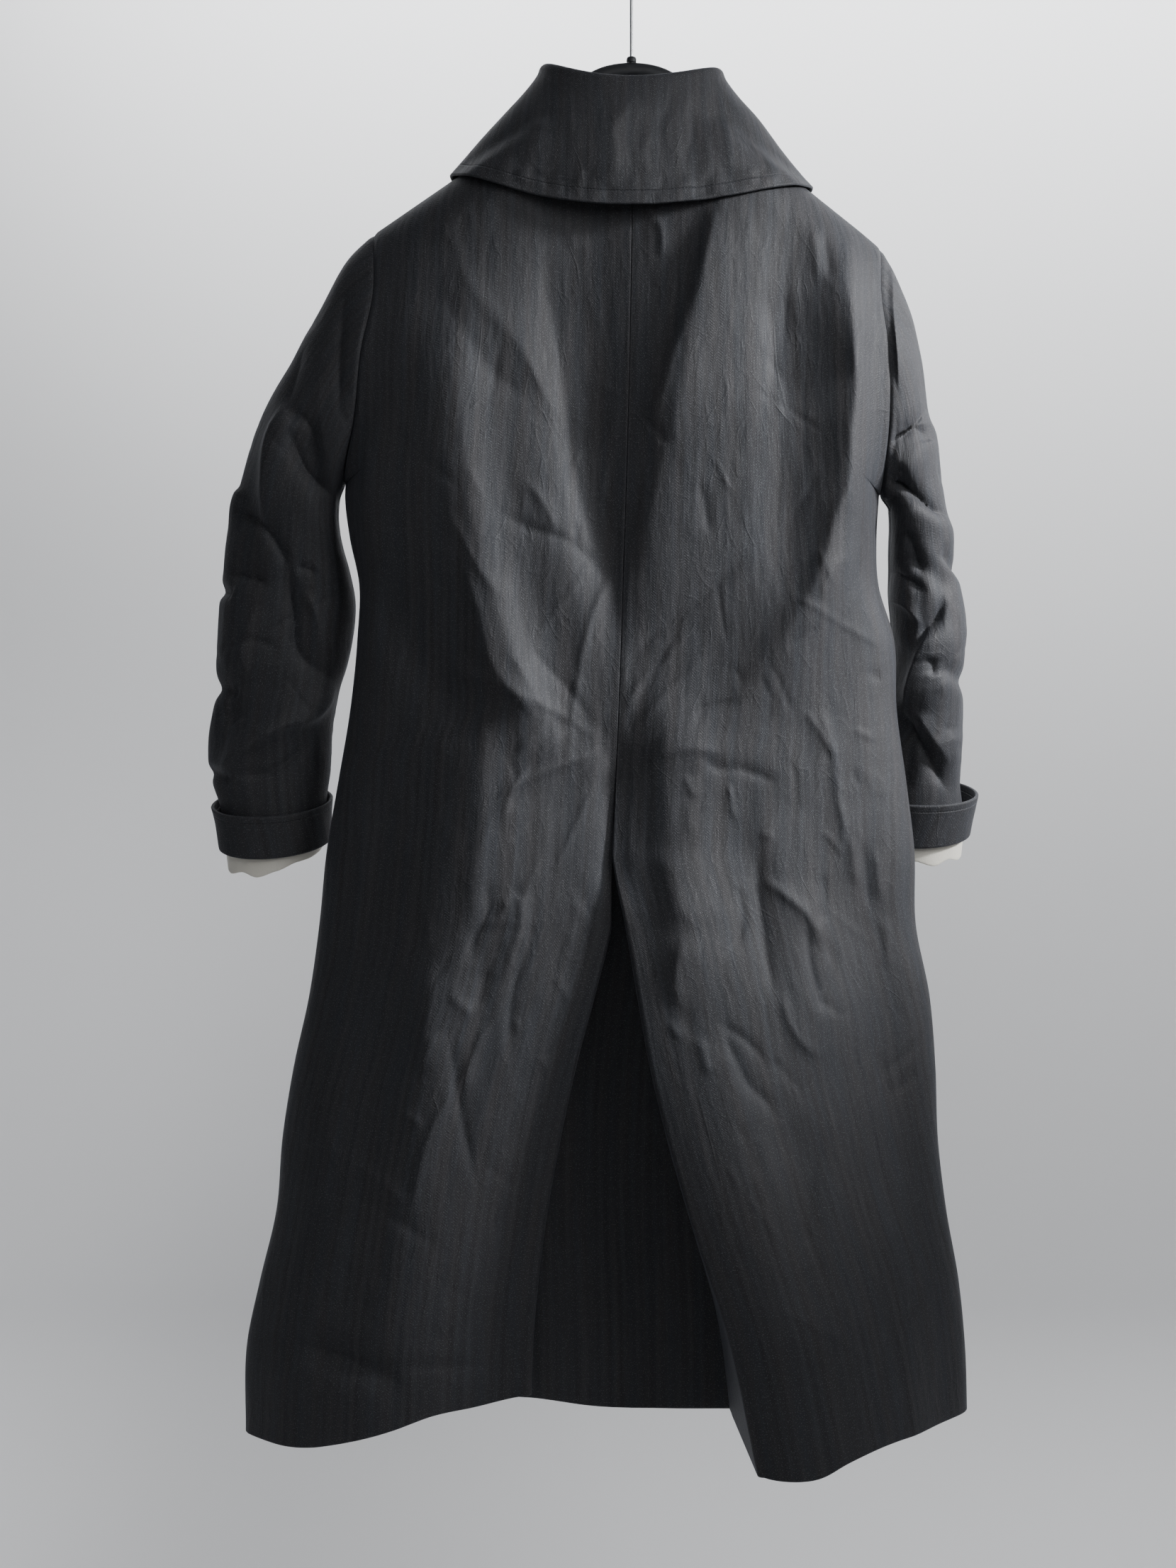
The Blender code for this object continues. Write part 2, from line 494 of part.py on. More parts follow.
def return_grid(side, flat, down):
    """Places of the fold at the centre and of the return behind it, down to the underlay."""
    name = SIDE_NAMES[side] + "_root"
    edge = flat[:, -1, :]
    radius = fold_radius(edge[:, 2])[:, None]
    opened = ease((PLEAT_OPENS_Z - edge[:, 2]) / (PLEAT_OPENS_Z - APEX_Z))[:, None]
    slope = np.gradient(edge, axis=0)
    inward = np.stack([0 * down, -slope[:, 2], slope[:, 1]], axis=-1)
    inward = mix(inward / np.linalg.norm(inward, axis=1)[:, None], np.array([0.0, 1.0, 0.0]), opened)
    inward = inward / np.linalg.norm(inward, axis=1)[:, None]
    outside = np.array([-side, 0.0, 0.0])
    centre = edge + inward * radius
    root_hem = read(UNDERLAY_HEM, "z", read(PLEAT, name, np.array(LEVEL_HEM_Z)))
    blend = ease((down - HEM_DIPS_FROM) / ROOT_LEVELS_OVER)
    root_z = mix(edge[:, 2], mix(edge[0, 2], root_hem, down), blend)
    root_x = read(PLEAT, name, root_z)
    laid = np.stack([root_x, underlay_y(root_x, root_z) - ROOT_GAP, root_z], axis=-1)
    root = mix(centre + outside * radius + inward * SEAM_ALLOWANCE, laid, opened)
    reach_out = np.sum((root - centre) * outside, axis=1)
    reach_in = np.sum((root - centre) * inward, axis=1)
    turn = np.arctan2(reach_in, reach_out) + np.arcsin(radius[:, 0] / np.hypot(reach_in, reach_out))
    columns = []
    for share in (0.25, 0.5, 0.75, 1.0):
        angle = (turn * share)[:, None]
        columns.append(centre + radius * (outside * np.sin(angle) - inward * np.cos(angle)))
    columns.append((columns[-1] + root) / 2)
    columns.append(root)
    return np.stack(columns, axis=1)


def sleeve_section(side, along):
    """The columns of the sleeve's table at a share along it."""
    return {name: read(SLEEVES[side], name, along) for name in Section._fields[1:]}


def sleeve_points(side, face, along, angle, grow=0.0, below=0.0, folded=True):
    """Places round the sleeve: angle 0 is the outer edge and pi the inner edge under the arm."""
    along, angle = np.meshgrid(along, angle, indexing="ij")
    section = sleeve_section(side, along)
    high = (1 + np.cos(angle)) / 2
    x = mix(section["inner_x"], section["outer_x"], high)
    z = mix(section["inner_z"], section["outer_z"], high)
    sign = -1 if face == "back" else 1
    armhole_z = mix(TIP_Z[side], LEVEL_HEM_Z, UNDERARM * (1 - high))
    line_x = mix(SLEEVES[side][0].inner_x, SLEEVES[side][0].outer_x, high)
    line_z = mix(SLEEVES[side][0].inner_z, SLEEVES[side][0].outer_z, high)
    fade = 1 - ease(along / ARMHOLE_FADE)
    x = x + (side_x(side, armhole_z) + side * SEAM_GAP - line_x) * fade
    z = z + (armhole_z - line_z) * fade
    y = section["forward"] + sign * (section["half_depth"] * np.sin(angle) + HALF_GAP)
    z = z + sign * section["tilt"] * np.sin(angle)
    spread = grow + 0 * along
    if folded:
        steady = ease(along / SLEEVE_FOLD_START) * ease((CUFF_START - along) / SLEEVE_FOLD_END)
        spread = spread + raised(SLEEVE_FOLDS[side], x, z) * steady * np.sin(angle) ** 0.5
    width = np.hypot(section["outer_x"] - section["inner_x"], section["outer_z"] - section["inner_z"])
    lean_x = (section["outer_x"] - section["inner_x"]) / width
    lean_z = (section["outer_z"] - section["inner_z"]) / width
    x = x + spread * np.cos(angle) * lean_x
    z = z + spread * np.cos(angle) * lean_z - below
    y = y + sign * spread * np.sin(angle)
    return np.stack([x, y, z], axis=-1)


def ring_points(side, along, grow, flare, below, taper=0.0):
    """Closed rings round the sleeve's end. Flare grows them mostly at the outer edge."""
    rings = []
    angles = np.linspace(0.0, math.pi, ARMHOLE_STEPS + 1)
    under = (1 - np.cos(angles)) / 2
    for share, opened, low in zip(along, flare, below):
        drop = mix(LINING_BELOW_OUTER, LINING_BELOW_INNER, under ** 0.5) * low
        out = grow + opened * mix(1.0, CUFF_INNER_SHARE, under) - taper * low
        half = []
        for face in ("back", "front"):
            ring = sleeve_points(side, face, np.array([share]), angles, out, drop, False)
            half.append(ring[0])
        rings.append(np.concatenate([half[0], half[1][::-1][1:-1], half[0][:1]]))
    return np.stack(rings)


def body_depth(side, face, x, z):
    """How far a panel's outer face stands off the hanging line at a place in the photograph's plane."""
    top = top_z(side, face, x)
    across = (side_x(side, z) - x) / (side_x(side, z) - centre_x(side, face, z))
    down = np.clip((top - z) / (top - LEVEL_HEM_Z), 0.0, 1.0)
    return panel_depth(side, face, np.clip(across, 0.0, 1.0), down, x, z) + HALF_GAP


def neck_edge_z(side, face, x):
    """Height of a panel's neck edge, straight between its columns."""
    width = abs(TIP_X[side]) + (LAP if face == "front" else 0.0)
    reach = abs(TIP_X[side]) - across_columns(side, face) * width
    heights = top_z(side, face, side * reach)
    return np.interp(np.abs(x), reach[::-1], heights[::-1])


def collar_points():
    """Loops round the neck from front end to front end, by angle from the centre back."""
    angles = np.linspace(-COLLAR_END, COLLAR_END, COLLAR_STEPS + 1)
    back = np.cos(angles)
    rows = []
    for number, loop in enumerate(COLLAR):
        depth = np.abs(np.where(back > 0, loop.back_y, loop.front_y) * back)
        side_height = mix(loop.z_left, loop.z_right, (1 + np.sin(angles)) / 2)
        middle = np.where(back > 0, loop.z_back, loop.z_front)
        x = loop.half_x * np.sin(angles)
        z = mix(side_height, middle, np.abs(back) ** COLLAR_POWER)
        for side in (LEFT, RIGHT):
            for face in ("back", "front"):
                here = ((x < 0) == (side == LEFT)) & ((back > 0) == (face == "back"))
                if number == 0:
                    seam = neck_edge_z(side, face, NECK_X * np.sin(angles)) + COLLAR_SEAM_GAP
                    z = np.where(here, seam, z)
                if number > COLLAR_FOLD_ROW:
                    lower = z - COLLAR_LIFT
                    for near in (x, side * np.maximum(np.abs(x), NECK_X)):
                        under = body_depth(side, face, near, lower) + COLLAR_LIFT
                        covers = here & (lower < top_z(side, face, near)) & (under > depth)
                        depth = np.where(covers, under, depth)
        rows.append(np.stack([x, np.where(back > 0, -depth, depth), z], axis=-1))
    return np.stack(rows)


def finish(name, look):
    """A material with a plain finish."""
    material = bpy.data.materials.new(name)
    material.use_nodes = True
    shader = material.node_tree.nodes["Principled BSDF"]
    shader.inputs["Base Color"].default_value = look.colour
    shader.inputs["Roughness"].default_value = look.roughness
    shader.inputs["Metallic"].default_value = look.metallic
    material.diffuse_color = look.colour
    return material


def place(name, mesh, look, group):
    """Puts a mesh in the scene as a named sub-part with its own material."""
    mesh.name = name
    mesh.materials.clear()
    mesh.materials.append(finish(name + " finish", look))
    piece = bpy.data.objects.new(name, mesh)
    group.objects.link(piece)
    mesh.shade_smooth()
    mesh.set_sharp_from_angle(angle=math.radians(50))
    return piece


def along_steps(points, axis, closed):
    """The direction of the grid through each point, between its two neighbours."""
    steps = np.diff(points, axis=axis)
    steps = steps / np.maximum(np.linalg.norm(steps, axis=-1, keepdims=True), 1e-9)
    first = np.take(steps, [-1 if closed else 0], axis=axis)
    last = np.take(steps, [0 if closed else -1], axis=axis)
    return np.concatenate([first, steps], axis=axis) + np.concatenate([steps, last], axis=axis)


def inner_points(points, wall, turned, closed, square):
    """The inner face of a sheet. square lists edges whose wall stays square to an axis."""
    outward = np.cross(along_steps(points, 1, closed), -along_steps(points, 0, False))
    if turned:
        outward = -outward
    outward = outward / np.linalg.norm(outward, axis=-1, keepdims=True)
    for rows, columns, axis in square:
        outward[rows, columns, axis] = 0.0
    outward = outward / np.linalg.norm(outward, axis=-1, keepdims=True)
    return points - outward * wall


def sheet(name, points, wall, look, group, turned=False, closed=False, square=()):
    """A grid laid through rows of points, with a wall on its inner side."""
    inner = inner_points(points, wall, turned, closed, square)
    rows = points.shape[0] - 1
    columns = points.shape[1] - 1
    shape = bmesh.new()
    bmesh.ops.create_grid(shape, x_segments=columns, y_segments=rows, size=0.5)
    column_of = shape.verts.layers.int.new("column")
    row_of = shape.verts.layers.int.new("row")
    for vertex in shape.verts:
        vertex[column_of] = round((vertex.co.x + 0.5) * columns)
        vertex[row_of] = round((0.5 - vertex.co.y) * rows)
        vertex.co = points[vertex[row_of], vertex[column_of]]
    if closed:
        bmesh.ops.remove_doubles(shape, verts=shape.verts, dist=0.00001)
    grown = bmesh.ops.extrude_face_region(shape, geom=shape.faces, use_keep_orig=True)
    for item in grown["geom"]:
        if isinstance(item, bmesh.types.BMVert):
            item.co = inner[item[row_of], item[column_of]]
    bmesh.ops.recalc_face_normals(shape, faces=shape.faces)
    mesh = bpy.data.meshes.new(name)
    shape.to_mesh(mesh)
    shape.free()
    return place(name, mesh, look, group)


def build_body(group):
    """The four body panels."""
    down = down_rows()
    for side in (LEFT, RIGHT):
        for face in ("back", "front"):
            across = across_columns(side, face)
            flat = panel_grid(side, face, across, down)
            neck_column = int(np.argmin(np.abs(np.abs(flat[0, :, 0]) - NECK_X)))
            square = (
                (0, slice(0, neck_column + 1), Y_AXIS),
                (slice(0, ARMHOLE_STEPS), 0, X_AXIS),
                (slice(ARMHOLE_STEPS, None), 0, Y_AXIS),
                (-1, slice(None), Z_AXIS),
            )
            if face == "back":
                square += ((slice(None), -1, Y_AXIS),)
                flat = np.concatenate([flat, return_grid(side, flat, down)], axis=1)
            turned = (side == RIGHT) != (face == "front")
            sheet(f"{face}_{SIDE_NAMES[side]}", flat, CLOTH, DARK_CLOTH, group, turned, square=square)


def build_underlay(group):
    """The recessed panel of the back pleat, wider towards the hem."""
    columns = []
    hem_z = np.array(LEVEL_HEM_Z)
    for share in np.linspace(0.0, 1.0, UNDERLAY_COLUMNS + 1):
        start = read(PLEAT, "left_root", hem_z) - UNDERLAY_WING
        end = read(PLEAT, "right_root", hem_z) + UNDERLAY_WING
        hem = read(UNDERLAY_HEM, "z", mix(start, end, share))
        z = np.linspace(APEX_Z, float(hem), UNDERLAY_ROWS + 1)
        first = read(PLEAT, "left_root", z) - UNDERLAY_WING
        last = read(PLEAT, "right_root", z) + UNDERLAY_WING
        x = mix(first, last, share)
        columns.append(np.stack([x, underlay_y(x, z), z], axis=-1))
    sheet("pleat_underlay", np.stack(columns, axis=1), CLOTH, DARK_CLOTH, group)


def build_sleeves(group):
    """Two halves for each sleeve."""
    along = np.concatenate([[0.0], np.linspace(0.03, 1.0, SLEEVE_ROWS)])
    angles = np.linspace(0.0, math.pi, ARMHOLE_STEPS + 1)
    for side in (LEFT, RIGHT):
        for face in ("back", "front"):
            points = sleeve_points(side, face, along, angles)
            turned = (side == RIGHT) != (face == "front")
            square = ((slice(None), 0, Y_AXIS), (slice(None), -1, Y_AXIS), (0, slice(None), X_AXIS))
            name = f"sleeve_{face}_{SIDE_NAMES[side]}"
            sheet(name, points, CLOTH, DARK_CLOTH, group, turned, square=square)


def build_cuffs(group):
    """The turned-up cuff and the end of the lining on each sleeve."""
    for side in (LEFT, RIGHT):
        name = SIDE_NAMES[side]
        flare = np.array([1.0, 0.65, 0.3, 0.0]) * CUFF_STAND_OFF[side]
        cuff = ring_points(side, np.linspace(CUFF_START, 1.0, 4), CUFF_CLOTH + SEAM_GAP, flare, np.zeros(4))
        sheet(f"cuff_{name}", cuff, CUFF_CLOTH, DARK_CLOTH, group, side == RIGHT, True)
        along = (LINING_START, 1.0, 1.0, 1.0)
        below = (0.0, 0.0, 0.5, 1.0)
        lining = ring_points(side, along, -CLOTH - 2 * SEAM_GAP, np.zeros(4), below, LINING_TAPER)
        sheet(f"cuff_lining_{name}", lining, LINING_CLOTH, PALE_LINING, group, side == RIGHT, True)


def hanger_top(x):
    """Upper edge of the hanger: an arch inside the neck, then arms just under the shoulders."""
    side = RIGHT if x > 0 else LEFT
    reach = abs(x)
    dip = HANGER_DIP * math.exp(-((reach - NECK_X) / HANGER_DIP_WIDTH) ** 2)
    if reach < ARCH_REACH:
        return ARCH_TOP_Z - ARCH_SQUARE * reach ** 2 - ARCH_FOURTH * reach ** 4 - dip
    slope = (TIP_Z[side] - NECK_POINT_Z[side]) / (abs(TIP_X[side]) - NECK_X)
    return NECK_POINT_Z[side] + slope * (reach - NECK_X) - HANGER_UNDER_CLOTH - dip


def build_hanger(group, cutters):
    """The hanger, lofted from oval sections along its length, with a bore for the wire."""
    half = [0.0, 0.012, 0.024, 0.036, 0.047, 0.057, 0.064, ARCH_REACH, 0.079, 0.095, 0.125, 0.160]
    ends = [(0.182, 0.94), (0.1875, 0.72), (HANGER_REACH, 0.35)]
    stations = [(x, 1.0) for x in half] + ends
    stations = [(-x, size) for x, size in stations[:0:-1]] + stations
    angles = np.linspace(0.0, 2 * math.pi, HANGER_SIDES + 1)
    rows = []
    for x, size in stations:
        slope = (hanger_top(x + SLOPE_STEP) - hanger_top(x - SLOPE_STEP)) / (2 * SLOPE_STEP)
        height = HANGER_HEIGHT * min(math.hypot(1.0, slope), STEEPEST)
        thick = mix(HANGER_NECK_HALF, HANGER_END_HALF, ease((abs(x) - ARCH_REACH) / ARCH_REACH))
        middle = hanger_top(x) - height / 2
        y = size * thick * np.cos(angles)
        z = middle + size * height / 2 * np.sin(angles)
        rows.append(np.stack([np.full_like(y, x), y, z], axis=-1))
    points = np.stack(rows)
    shape = bmesh.new()
    columns = len(angles) - 1
    bmesh.ops.create_grid(shape, x_segments=columns, y_segments=len(rows) - 1, size=0.5)
    for vertex in shape.verts:
        column = round((vertex.co.x + 0.5) * columns)
        row = round((0.5 - vertex.co.y) * (len(rows) - 1))
        vertex.co = points[row, column]
    bmesh.ops.remove_doubles(shape, verts=shape.verts, dist=0.00001)
    bmesh.ops.holes_fill(shape, edges=shape.edges, sides=columns)
    bmesh.ops.recalc_face_normals(shape, faces=shape.faces)
    mesh = bpy.data.meshes.new("hanger")
    shape.to_mesh(mesh)
    shape.free()
    hanger = place("hanger", mesh, BLACK_PLASTIC, group)
    bore = bmesh.new()
    bmesh.ops.create_cone(
        bore, cap_ends=True, segments=16, radius1=BORE_RADIUS, radius2=BORE_RADIUS, depth=2 * BORE_DEPTH
    )
    bmesh.ops.translate(bore, verts=bore.verts, vec=(0.0, 0.0, ARCH_TOP_Z))
    bore_mesh = bpy.data.meshes.new("wire bore")
    bore.to_mesh(bore_mesh)
    bore.free()
    cutter = bpy.data.objects.new("wire bore", bore_mesh)
    cutter.hide_render = True
    cutter.display_type = "WIRE"
    cutters.objects.link(cutter)
    cut = hanger.modifiers.new("Wire bore", "BOOLEAN")
    cut.operation = "DIFFERENCE"
    cut.object = cutter


def build_hook(group):
    """The bent wire: a straight shaft, an easy bend and the curl whose inner top is the origin."""
    middle_z = -HOOK_RADIUS
    radius = HOOK_RADIUS + WIRE_RADIUS
    foot_z = ARCH_TOP_Z - BORE_DEPTH + 2 * SEAM_GAP
    route = [(0.0, foot_z), (0.0, (foot_z + SHAFT_TOP_Z) / 2), (0.0, SHAFT_TOP_Z)]
    first = (radius * math.cos(HOOK_START), middle_z + radius * math.sin(HOOK_START))
    aim = (-math.sin(HOOK_START), math.cos(HOOK_START))
    for step in range(1, 8):
        share = step / 8
        rest = 1 - share
        weights = (rest ** 3, 3 * rest ** 2 * share, 3 * rest * share ** 2, share ** 3)
        xs = (0.0, 0.0, first[0] - aim[0] * HOOK_PULL, first[0])
        zs = (SHAFT_TOP_Z, SHAFT_TOP_Z + HOOK_PULL, first[1] - aim[1] * HOOK_PULL, first[1])
        x = sum(weight * value for weight, value in zip(weights, xs))
        z = sum(weight * value for weight, value in zip(weights, zs))
        route.append((x, z))
    for step in range(25):
        angle = mix(HOOK_START, HOOK_END, step / 24)
        route.append((radius * math.cos(angle), middle_z + radius * math.sin(angle)))
    curve = bpy.data.curves.new("hanger_hook", "CURVE")
    curve.dimensions = "3D"
    curve.bevel_depth = WIRE_RADIUS
    curve.bevel_resolution = 2
    curve.use_fill_caps = True
    spline = curve.splines.new("POLY")
    spline.points.add(len(route) - 1)
    for point, (x, z) in zip(spline.points, route):
        point.co = (x, 0.0, z, 1.0)
    curve.materials.append(finish("hanger_hook finish", STEEL))
    group.objects.link(bpy.data.objects.new("hanger_hook", curve))


def turned_ring(name, profile, look, group, height):
    """A small turned piece: its profile of radius and height runs down the outer side."""
    shape = bmesh.new()
    corners = [shape.verts.new((radius, 0.0, z)) for radius, z in profile]
    for first, second in zip(corners, corners[1:] + corners[:1]):
        shape.edges.new((first, second))
    mesh = bpy.data.meshes.new(name)
    shape.to_mesh(mesh)
    shape.free()
    piece = place(name, mesh, look, group)
    turn = piece.modifiers.new("Turn", "SCREW")
    turn.steps = 16
    turn.render_steps = 16
    turn.use_merge_vertices = True
    turn.merge_threshold = 0.00005
    piece.location.z = height
    return piece


def build_ferrule(group):
    """The small boss round the foot of the wire."""
    inner = BORE_RADIUS
    outer = FERRULE_RADIUS
    profile = (
        (outer * 0.7, FERRULE_HEIGHT),
        (outer * 0.95, FERRULE_HEIGHT * 0.8),
        (outer, 0.0),
        (inner, 0.0),
        (inner, FERRULE_HEIGHT),
    )
    turned_ring("hanger_ferrule", profile, BLACK_PLASTIC, group, ARCH_TOP_Z + SEAM_GAP)


def build_buttons(group):
    """Plain round buttons down the lap, each lying flat on the cloth."""
    for number, height in enumerate(BUTTON_HEIGHTS, start=1):
        shape = bmesh.new()
        bmesh.ops.create_cone(
            shape,
            cap_ends=True,
            segments=16,
            radius1=BUTTON_RADIUS,
            radius2=BUTTON_RADIUS,
            depth=BUTTON_THICKNESS,
        )
        rims = [edge for edge in shape.edges if edge.calc_face_angle() > 1.0]
        rims = [edge for edge in rims if abs(edge.verts[0].co.z - edge.verts[1].co.z) < 0.0001]
        bmesh.ops.bevel(
            shape, geom=rims, offset=BUTTON_RIM, segments=1, profile=0.5, affect="EDGES", material=-1
        )
        mesh = bpy.data.meshes.new(f"button_{number}")
        shape.to_mesh(mesh)
        shape.free()
        button = place(f"button_{number}", mesh, HORN, group)
        near = height + BUTTON_RADIUS * np.array([1.0, 0.0, -1.0])
        depth = body_depth(RIGHT, "front", np.zeros_like(near), near)
        tilt = math.atan2(depth[0] - depth[2], 2 * BUTTON_RADIUS)
        stand = BUTTON_THICKNESS / 2 + BUTTON_GAP
        button.rotation_euler = (-math.pi / 2 - tilt, 0.0, 0.0)
        button.location = (0.0, depth.max() + stand, height)


def main():
    for old in list(bpy.data.objects):
        bpy.data.objects.remove(old, do_unlink=True)
    group = bpy.data.collections.new(NAME)
    cutters = bpy.data.collections.new("Cutters")
    bpy.context.scene.collection.children.link(group)
    bpy.context.scene.collection.children.link(cutters)
    build_body(group)
    build_underlay(group)
    build_sleeves(group)
    build_cuffs(group)
    square = ((0, slice(None), Z_AXIS),)
    sheet("collar", collar_points(), COLLAR_CLOTH, DARK_CLOTH, group, square=square)
    build_hanger(group, cutters)
    build_ferrule(group)
    build_hook(group)
    build_buttons(group)


main()
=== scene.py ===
"""A long coat of dark crushed cloth on a plastic hanger, seen from behind in a plain studio.

Sizes are in metres. The inner top of the hook is the origin and +Z is up. The back of the coat
faces -Y, its front faces +Y, and +X is the wearer's right.
"""

import math
from collections import namedtuple

import bmesh
import bpy
import numpy as np
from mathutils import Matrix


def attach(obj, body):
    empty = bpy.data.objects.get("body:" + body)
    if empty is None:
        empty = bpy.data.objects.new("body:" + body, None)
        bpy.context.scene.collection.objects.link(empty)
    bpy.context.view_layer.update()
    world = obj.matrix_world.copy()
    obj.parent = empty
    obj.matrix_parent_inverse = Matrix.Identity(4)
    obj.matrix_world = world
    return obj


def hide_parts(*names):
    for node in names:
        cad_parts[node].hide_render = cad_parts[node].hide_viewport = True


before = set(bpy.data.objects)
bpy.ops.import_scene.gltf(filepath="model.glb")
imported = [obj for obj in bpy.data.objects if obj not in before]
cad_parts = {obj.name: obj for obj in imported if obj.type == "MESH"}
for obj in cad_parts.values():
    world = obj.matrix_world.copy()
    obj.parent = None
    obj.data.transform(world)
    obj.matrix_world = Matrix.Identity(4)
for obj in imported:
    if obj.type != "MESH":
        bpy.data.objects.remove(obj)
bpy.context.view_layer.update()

# Walls and gaps. Sewn edges meet with hardly a gap, and what lies on a panel stands off it.
CLOTH = 0.0016
COLLAR_CLOTH = 0.0026
CUFF_CLOTH = 0.0030
LINING_CLOTH = 0.0010
SEAM_GAP = 0.0003
HALF_GAP = 0.000002
CAD_CLOTH = 0.002
CAD_CUFF_CLOTH = 0.003

# The two sides of the coat, as the sign of x
LEFT = -1
RIGHT = 1
SIDE_NAMES = {LEFT: "left", RIGHT: "right"}

# Neck and shoulders
NECK_X = 0.080
NECK_Y = 0.045
NECK_POINT_Z = {LEFT: -0.178, RIGHT: -0.180}
NECK_POWER = {"back": 2.0, "front": 1.4}
NECK_CENTRE_Z = {"back": -0.200, "front": -0.262}
TIP_X = {LEFT: -0.2170, RIGHT: 0.2110}
TIP_Z = {LEFT: -0.2705, RIGHT: -0.2830}
SHOULDER_ROLL = 0.054
ARMHOLE_HALF = 0.045
UNDERARM = 0.212
SIDE_POWER = 2.2
UNDERARM_FULLNESS = 1.2
FULLNESS_RUN = 0.75
ARMHOLE_FADE_ACROSS = 0.10
ARMHOLE_FADE_DOWN = 1.3
LEVEL_HEM_Z = -1.262
HEM_DIPS_FROM = 0.5

# Front lap
LAP = 0.022
LAP_EASE = 0.040
LAP_GAP = 0.0012
LAP_DEPTH = 0.010

# Back pleat
APEX_Z = -0.800
PLEAT_OPENS_Z = -0.760
PUSH_STARTS_Z = -0.700
SEAM_ALLOWANCE = 0.006
SEAM_RADIUS = 0.0009
CENTRE_GAP = 0.00003
FOLD_RADIUS = 0.005
FOLD_ROUNDS_OVER = 0.08
FOLD_STEPS = 8
RETURN_STEPS = 9
UNDERLAY_WING = 0.010
ROOT_GAP = 0.0010
ROOT_LEVELS_OVER = 0.15
UNDERLAY_HOLLOW = 0.006
UNDERLAY_HOLLOW_RUN = 0.15
PUSH_WIDTH = {LEFT: 0.060, RIGHT: 0.100}
PUSH_PEAK = {LEFT: 0.0, RIGHT: 0.042}

# The body at each height: its two side edges, the centre-back seam, and how far the back and the
# front stand off the hanging line
Body = namedtuple("Body", "z left right seam back front")
BODY = (
    Body(-0.270, -0.2170, 0.2110, -0.0005, 0.060, 0.056),
    Body(-0.325, -0.2145, 0.2070, -0.0014, 0.064, 0.062),
    Body(-0.375, -0.2240, 0.2120, -0.0023, 0.066, 0.066),
    Body(-0.430, -0.2300, 0.2130, -0.0036, 0.067, 0.068),
    Body(-0.487, -0.2415, 0.2090, -0.0052, 0.066, 0.068),
    Body(-0.525, -0.2375, 0.2065, -0.0063, 0.064, 0.066),
    Body(-0.565, -0.2295, 0.2080, -0.0076, 0.062, 0.064),
    Body(-0.610, -0.2310, 0.2210, -0.0091, 0.059, 0.062),
    Body(-0.670, -0.2370, 0.2235, -0.0114, 0.057, 0.061),
    Body(-0.730, -0.2470, 0.2315, -0.0138, 0.057, 0.063),
    Body(-0.790, -0.2570, 0.2385, -0.0163, 0.058, 0.065),
    Body(-0.850, -0.2630, 0.2395, -0.0170, 0.059, 0.067),
    Body(-0.910, -0.2715, 0.2510, -0.0170, 0.061, 0.069),
    Body(-0.970, -0.2845, 0.2560, -0.0170, 0.062, 0.071),
    Body(-1.030, -0.2940, 0.2580, -0.0170, 0.062, 0.073),
    Body(-1.090, -0.2990, 0.2650, -0.0170, 0.061, 0.074),
    Body(-1.150, -0.3130, 0.2755, -0.0170, 0.059, 0.076),
    Body(-1.200, -0.3235, 0.2805, -0.0170, 0.057, 0.077),
    Body(-1.280, -0.3250, 0.2830, -0.0170, 0.055, 0.078),
)

# The pleat at each height: where the two panels fold back, how far the folds are pushed out, where
# their returns end, and how deep the underlay lies behind the hanging line's front
Pleat = namedtuple("Pleat", "z left_fold right_fold left_push right_push left_root right_root underlay")
PLEAT = (
    Pleat(-0.700, 0.0000, -0.0300, -0.004, -0.003, -0.0165, -0.0162, 0.047),
    Pleat(-0.800, -0.0120, -0.0150, -0.003, 0.004, -0.0165, -0.0160, 0.046),
    Pleat(-0.850, -0.0170, -0.0060, -0.003, 0.014, -0.0230, -0.0060, 0.041),
    Pleat(-0.900, -0.0290, 0.0025, -0.004, 0.024, -0.0400, 0.0025, 0.034),
    Pleat(-0.960, -0.0450, 0.0130, -0.007, 0.033, -0.0620, 0.0130, 0.027),
    Pleat(-1.030, -0.0600, 0.0305, -0.012, 0.042, -0.0840, 0.0290, 0.021),
    Pleat(-1.100, -0.0720, 0.0510, -0.016, 0.050, -0.1020, 0.0490, 0.016),
    Pleat(-1.170, -0.0800, 0.0735, -0.018, 0.058, -0.1160, 0.0690, 0.013),
    Pleat(-1.285, -0.0850, 0.0985, -0.020, 0.068, -0.1280, 0.0850, 0.010),
)

# Hems, read along x
Hem = namedtuple("Hem", "x z")
BACK_HEM = (
    Hem(-0.325, -1.2770), Hem(-0.270, -1.2795), Hem(-0.233, -1.2725), Hem(-0.198, -1.2626),
    Hem(-0.164, -1.2508), Hem(-0.130, -1.2458), Hem(-0.084, -1.2390), Hem(-0.078, -1.2390),
    Hem(0.080, -1.2790), Hem(0.100, -1.2855), Hem(0.120, -1.2868), Hem(0.144, -1.2842),
    Hem(0.170, -1.2745), Hem(0.200, -1.2672), Hem(0.236, -1.2633), Hem(0.283, -1.2585),
)
FRONT_HEM = (
    Hem(-0.325, -1.2770), Hem(-0.260, -1.2720), Hem(-0.160, -1.2620), Hem(-0.040, -1.2580),
    Hem(0.080, -1.2570), Hem(0.180, -1.2600), Hem(0.283, -1.2590),
)
UNDERLAY_HEM = (
    Hem(-0.140, -1.2450), Hem(-0.084, -1.2485), Hem(-0.030, -1.2560), Hem(0.030, -1.2575),
    Hem(0.095, -1.2565),
)

# How far a fold runs past its ends, and how softly it ends, as shares of its length
FOLD_RUN_OUT = 0.12
FOLD_SOFT_END = 0.3

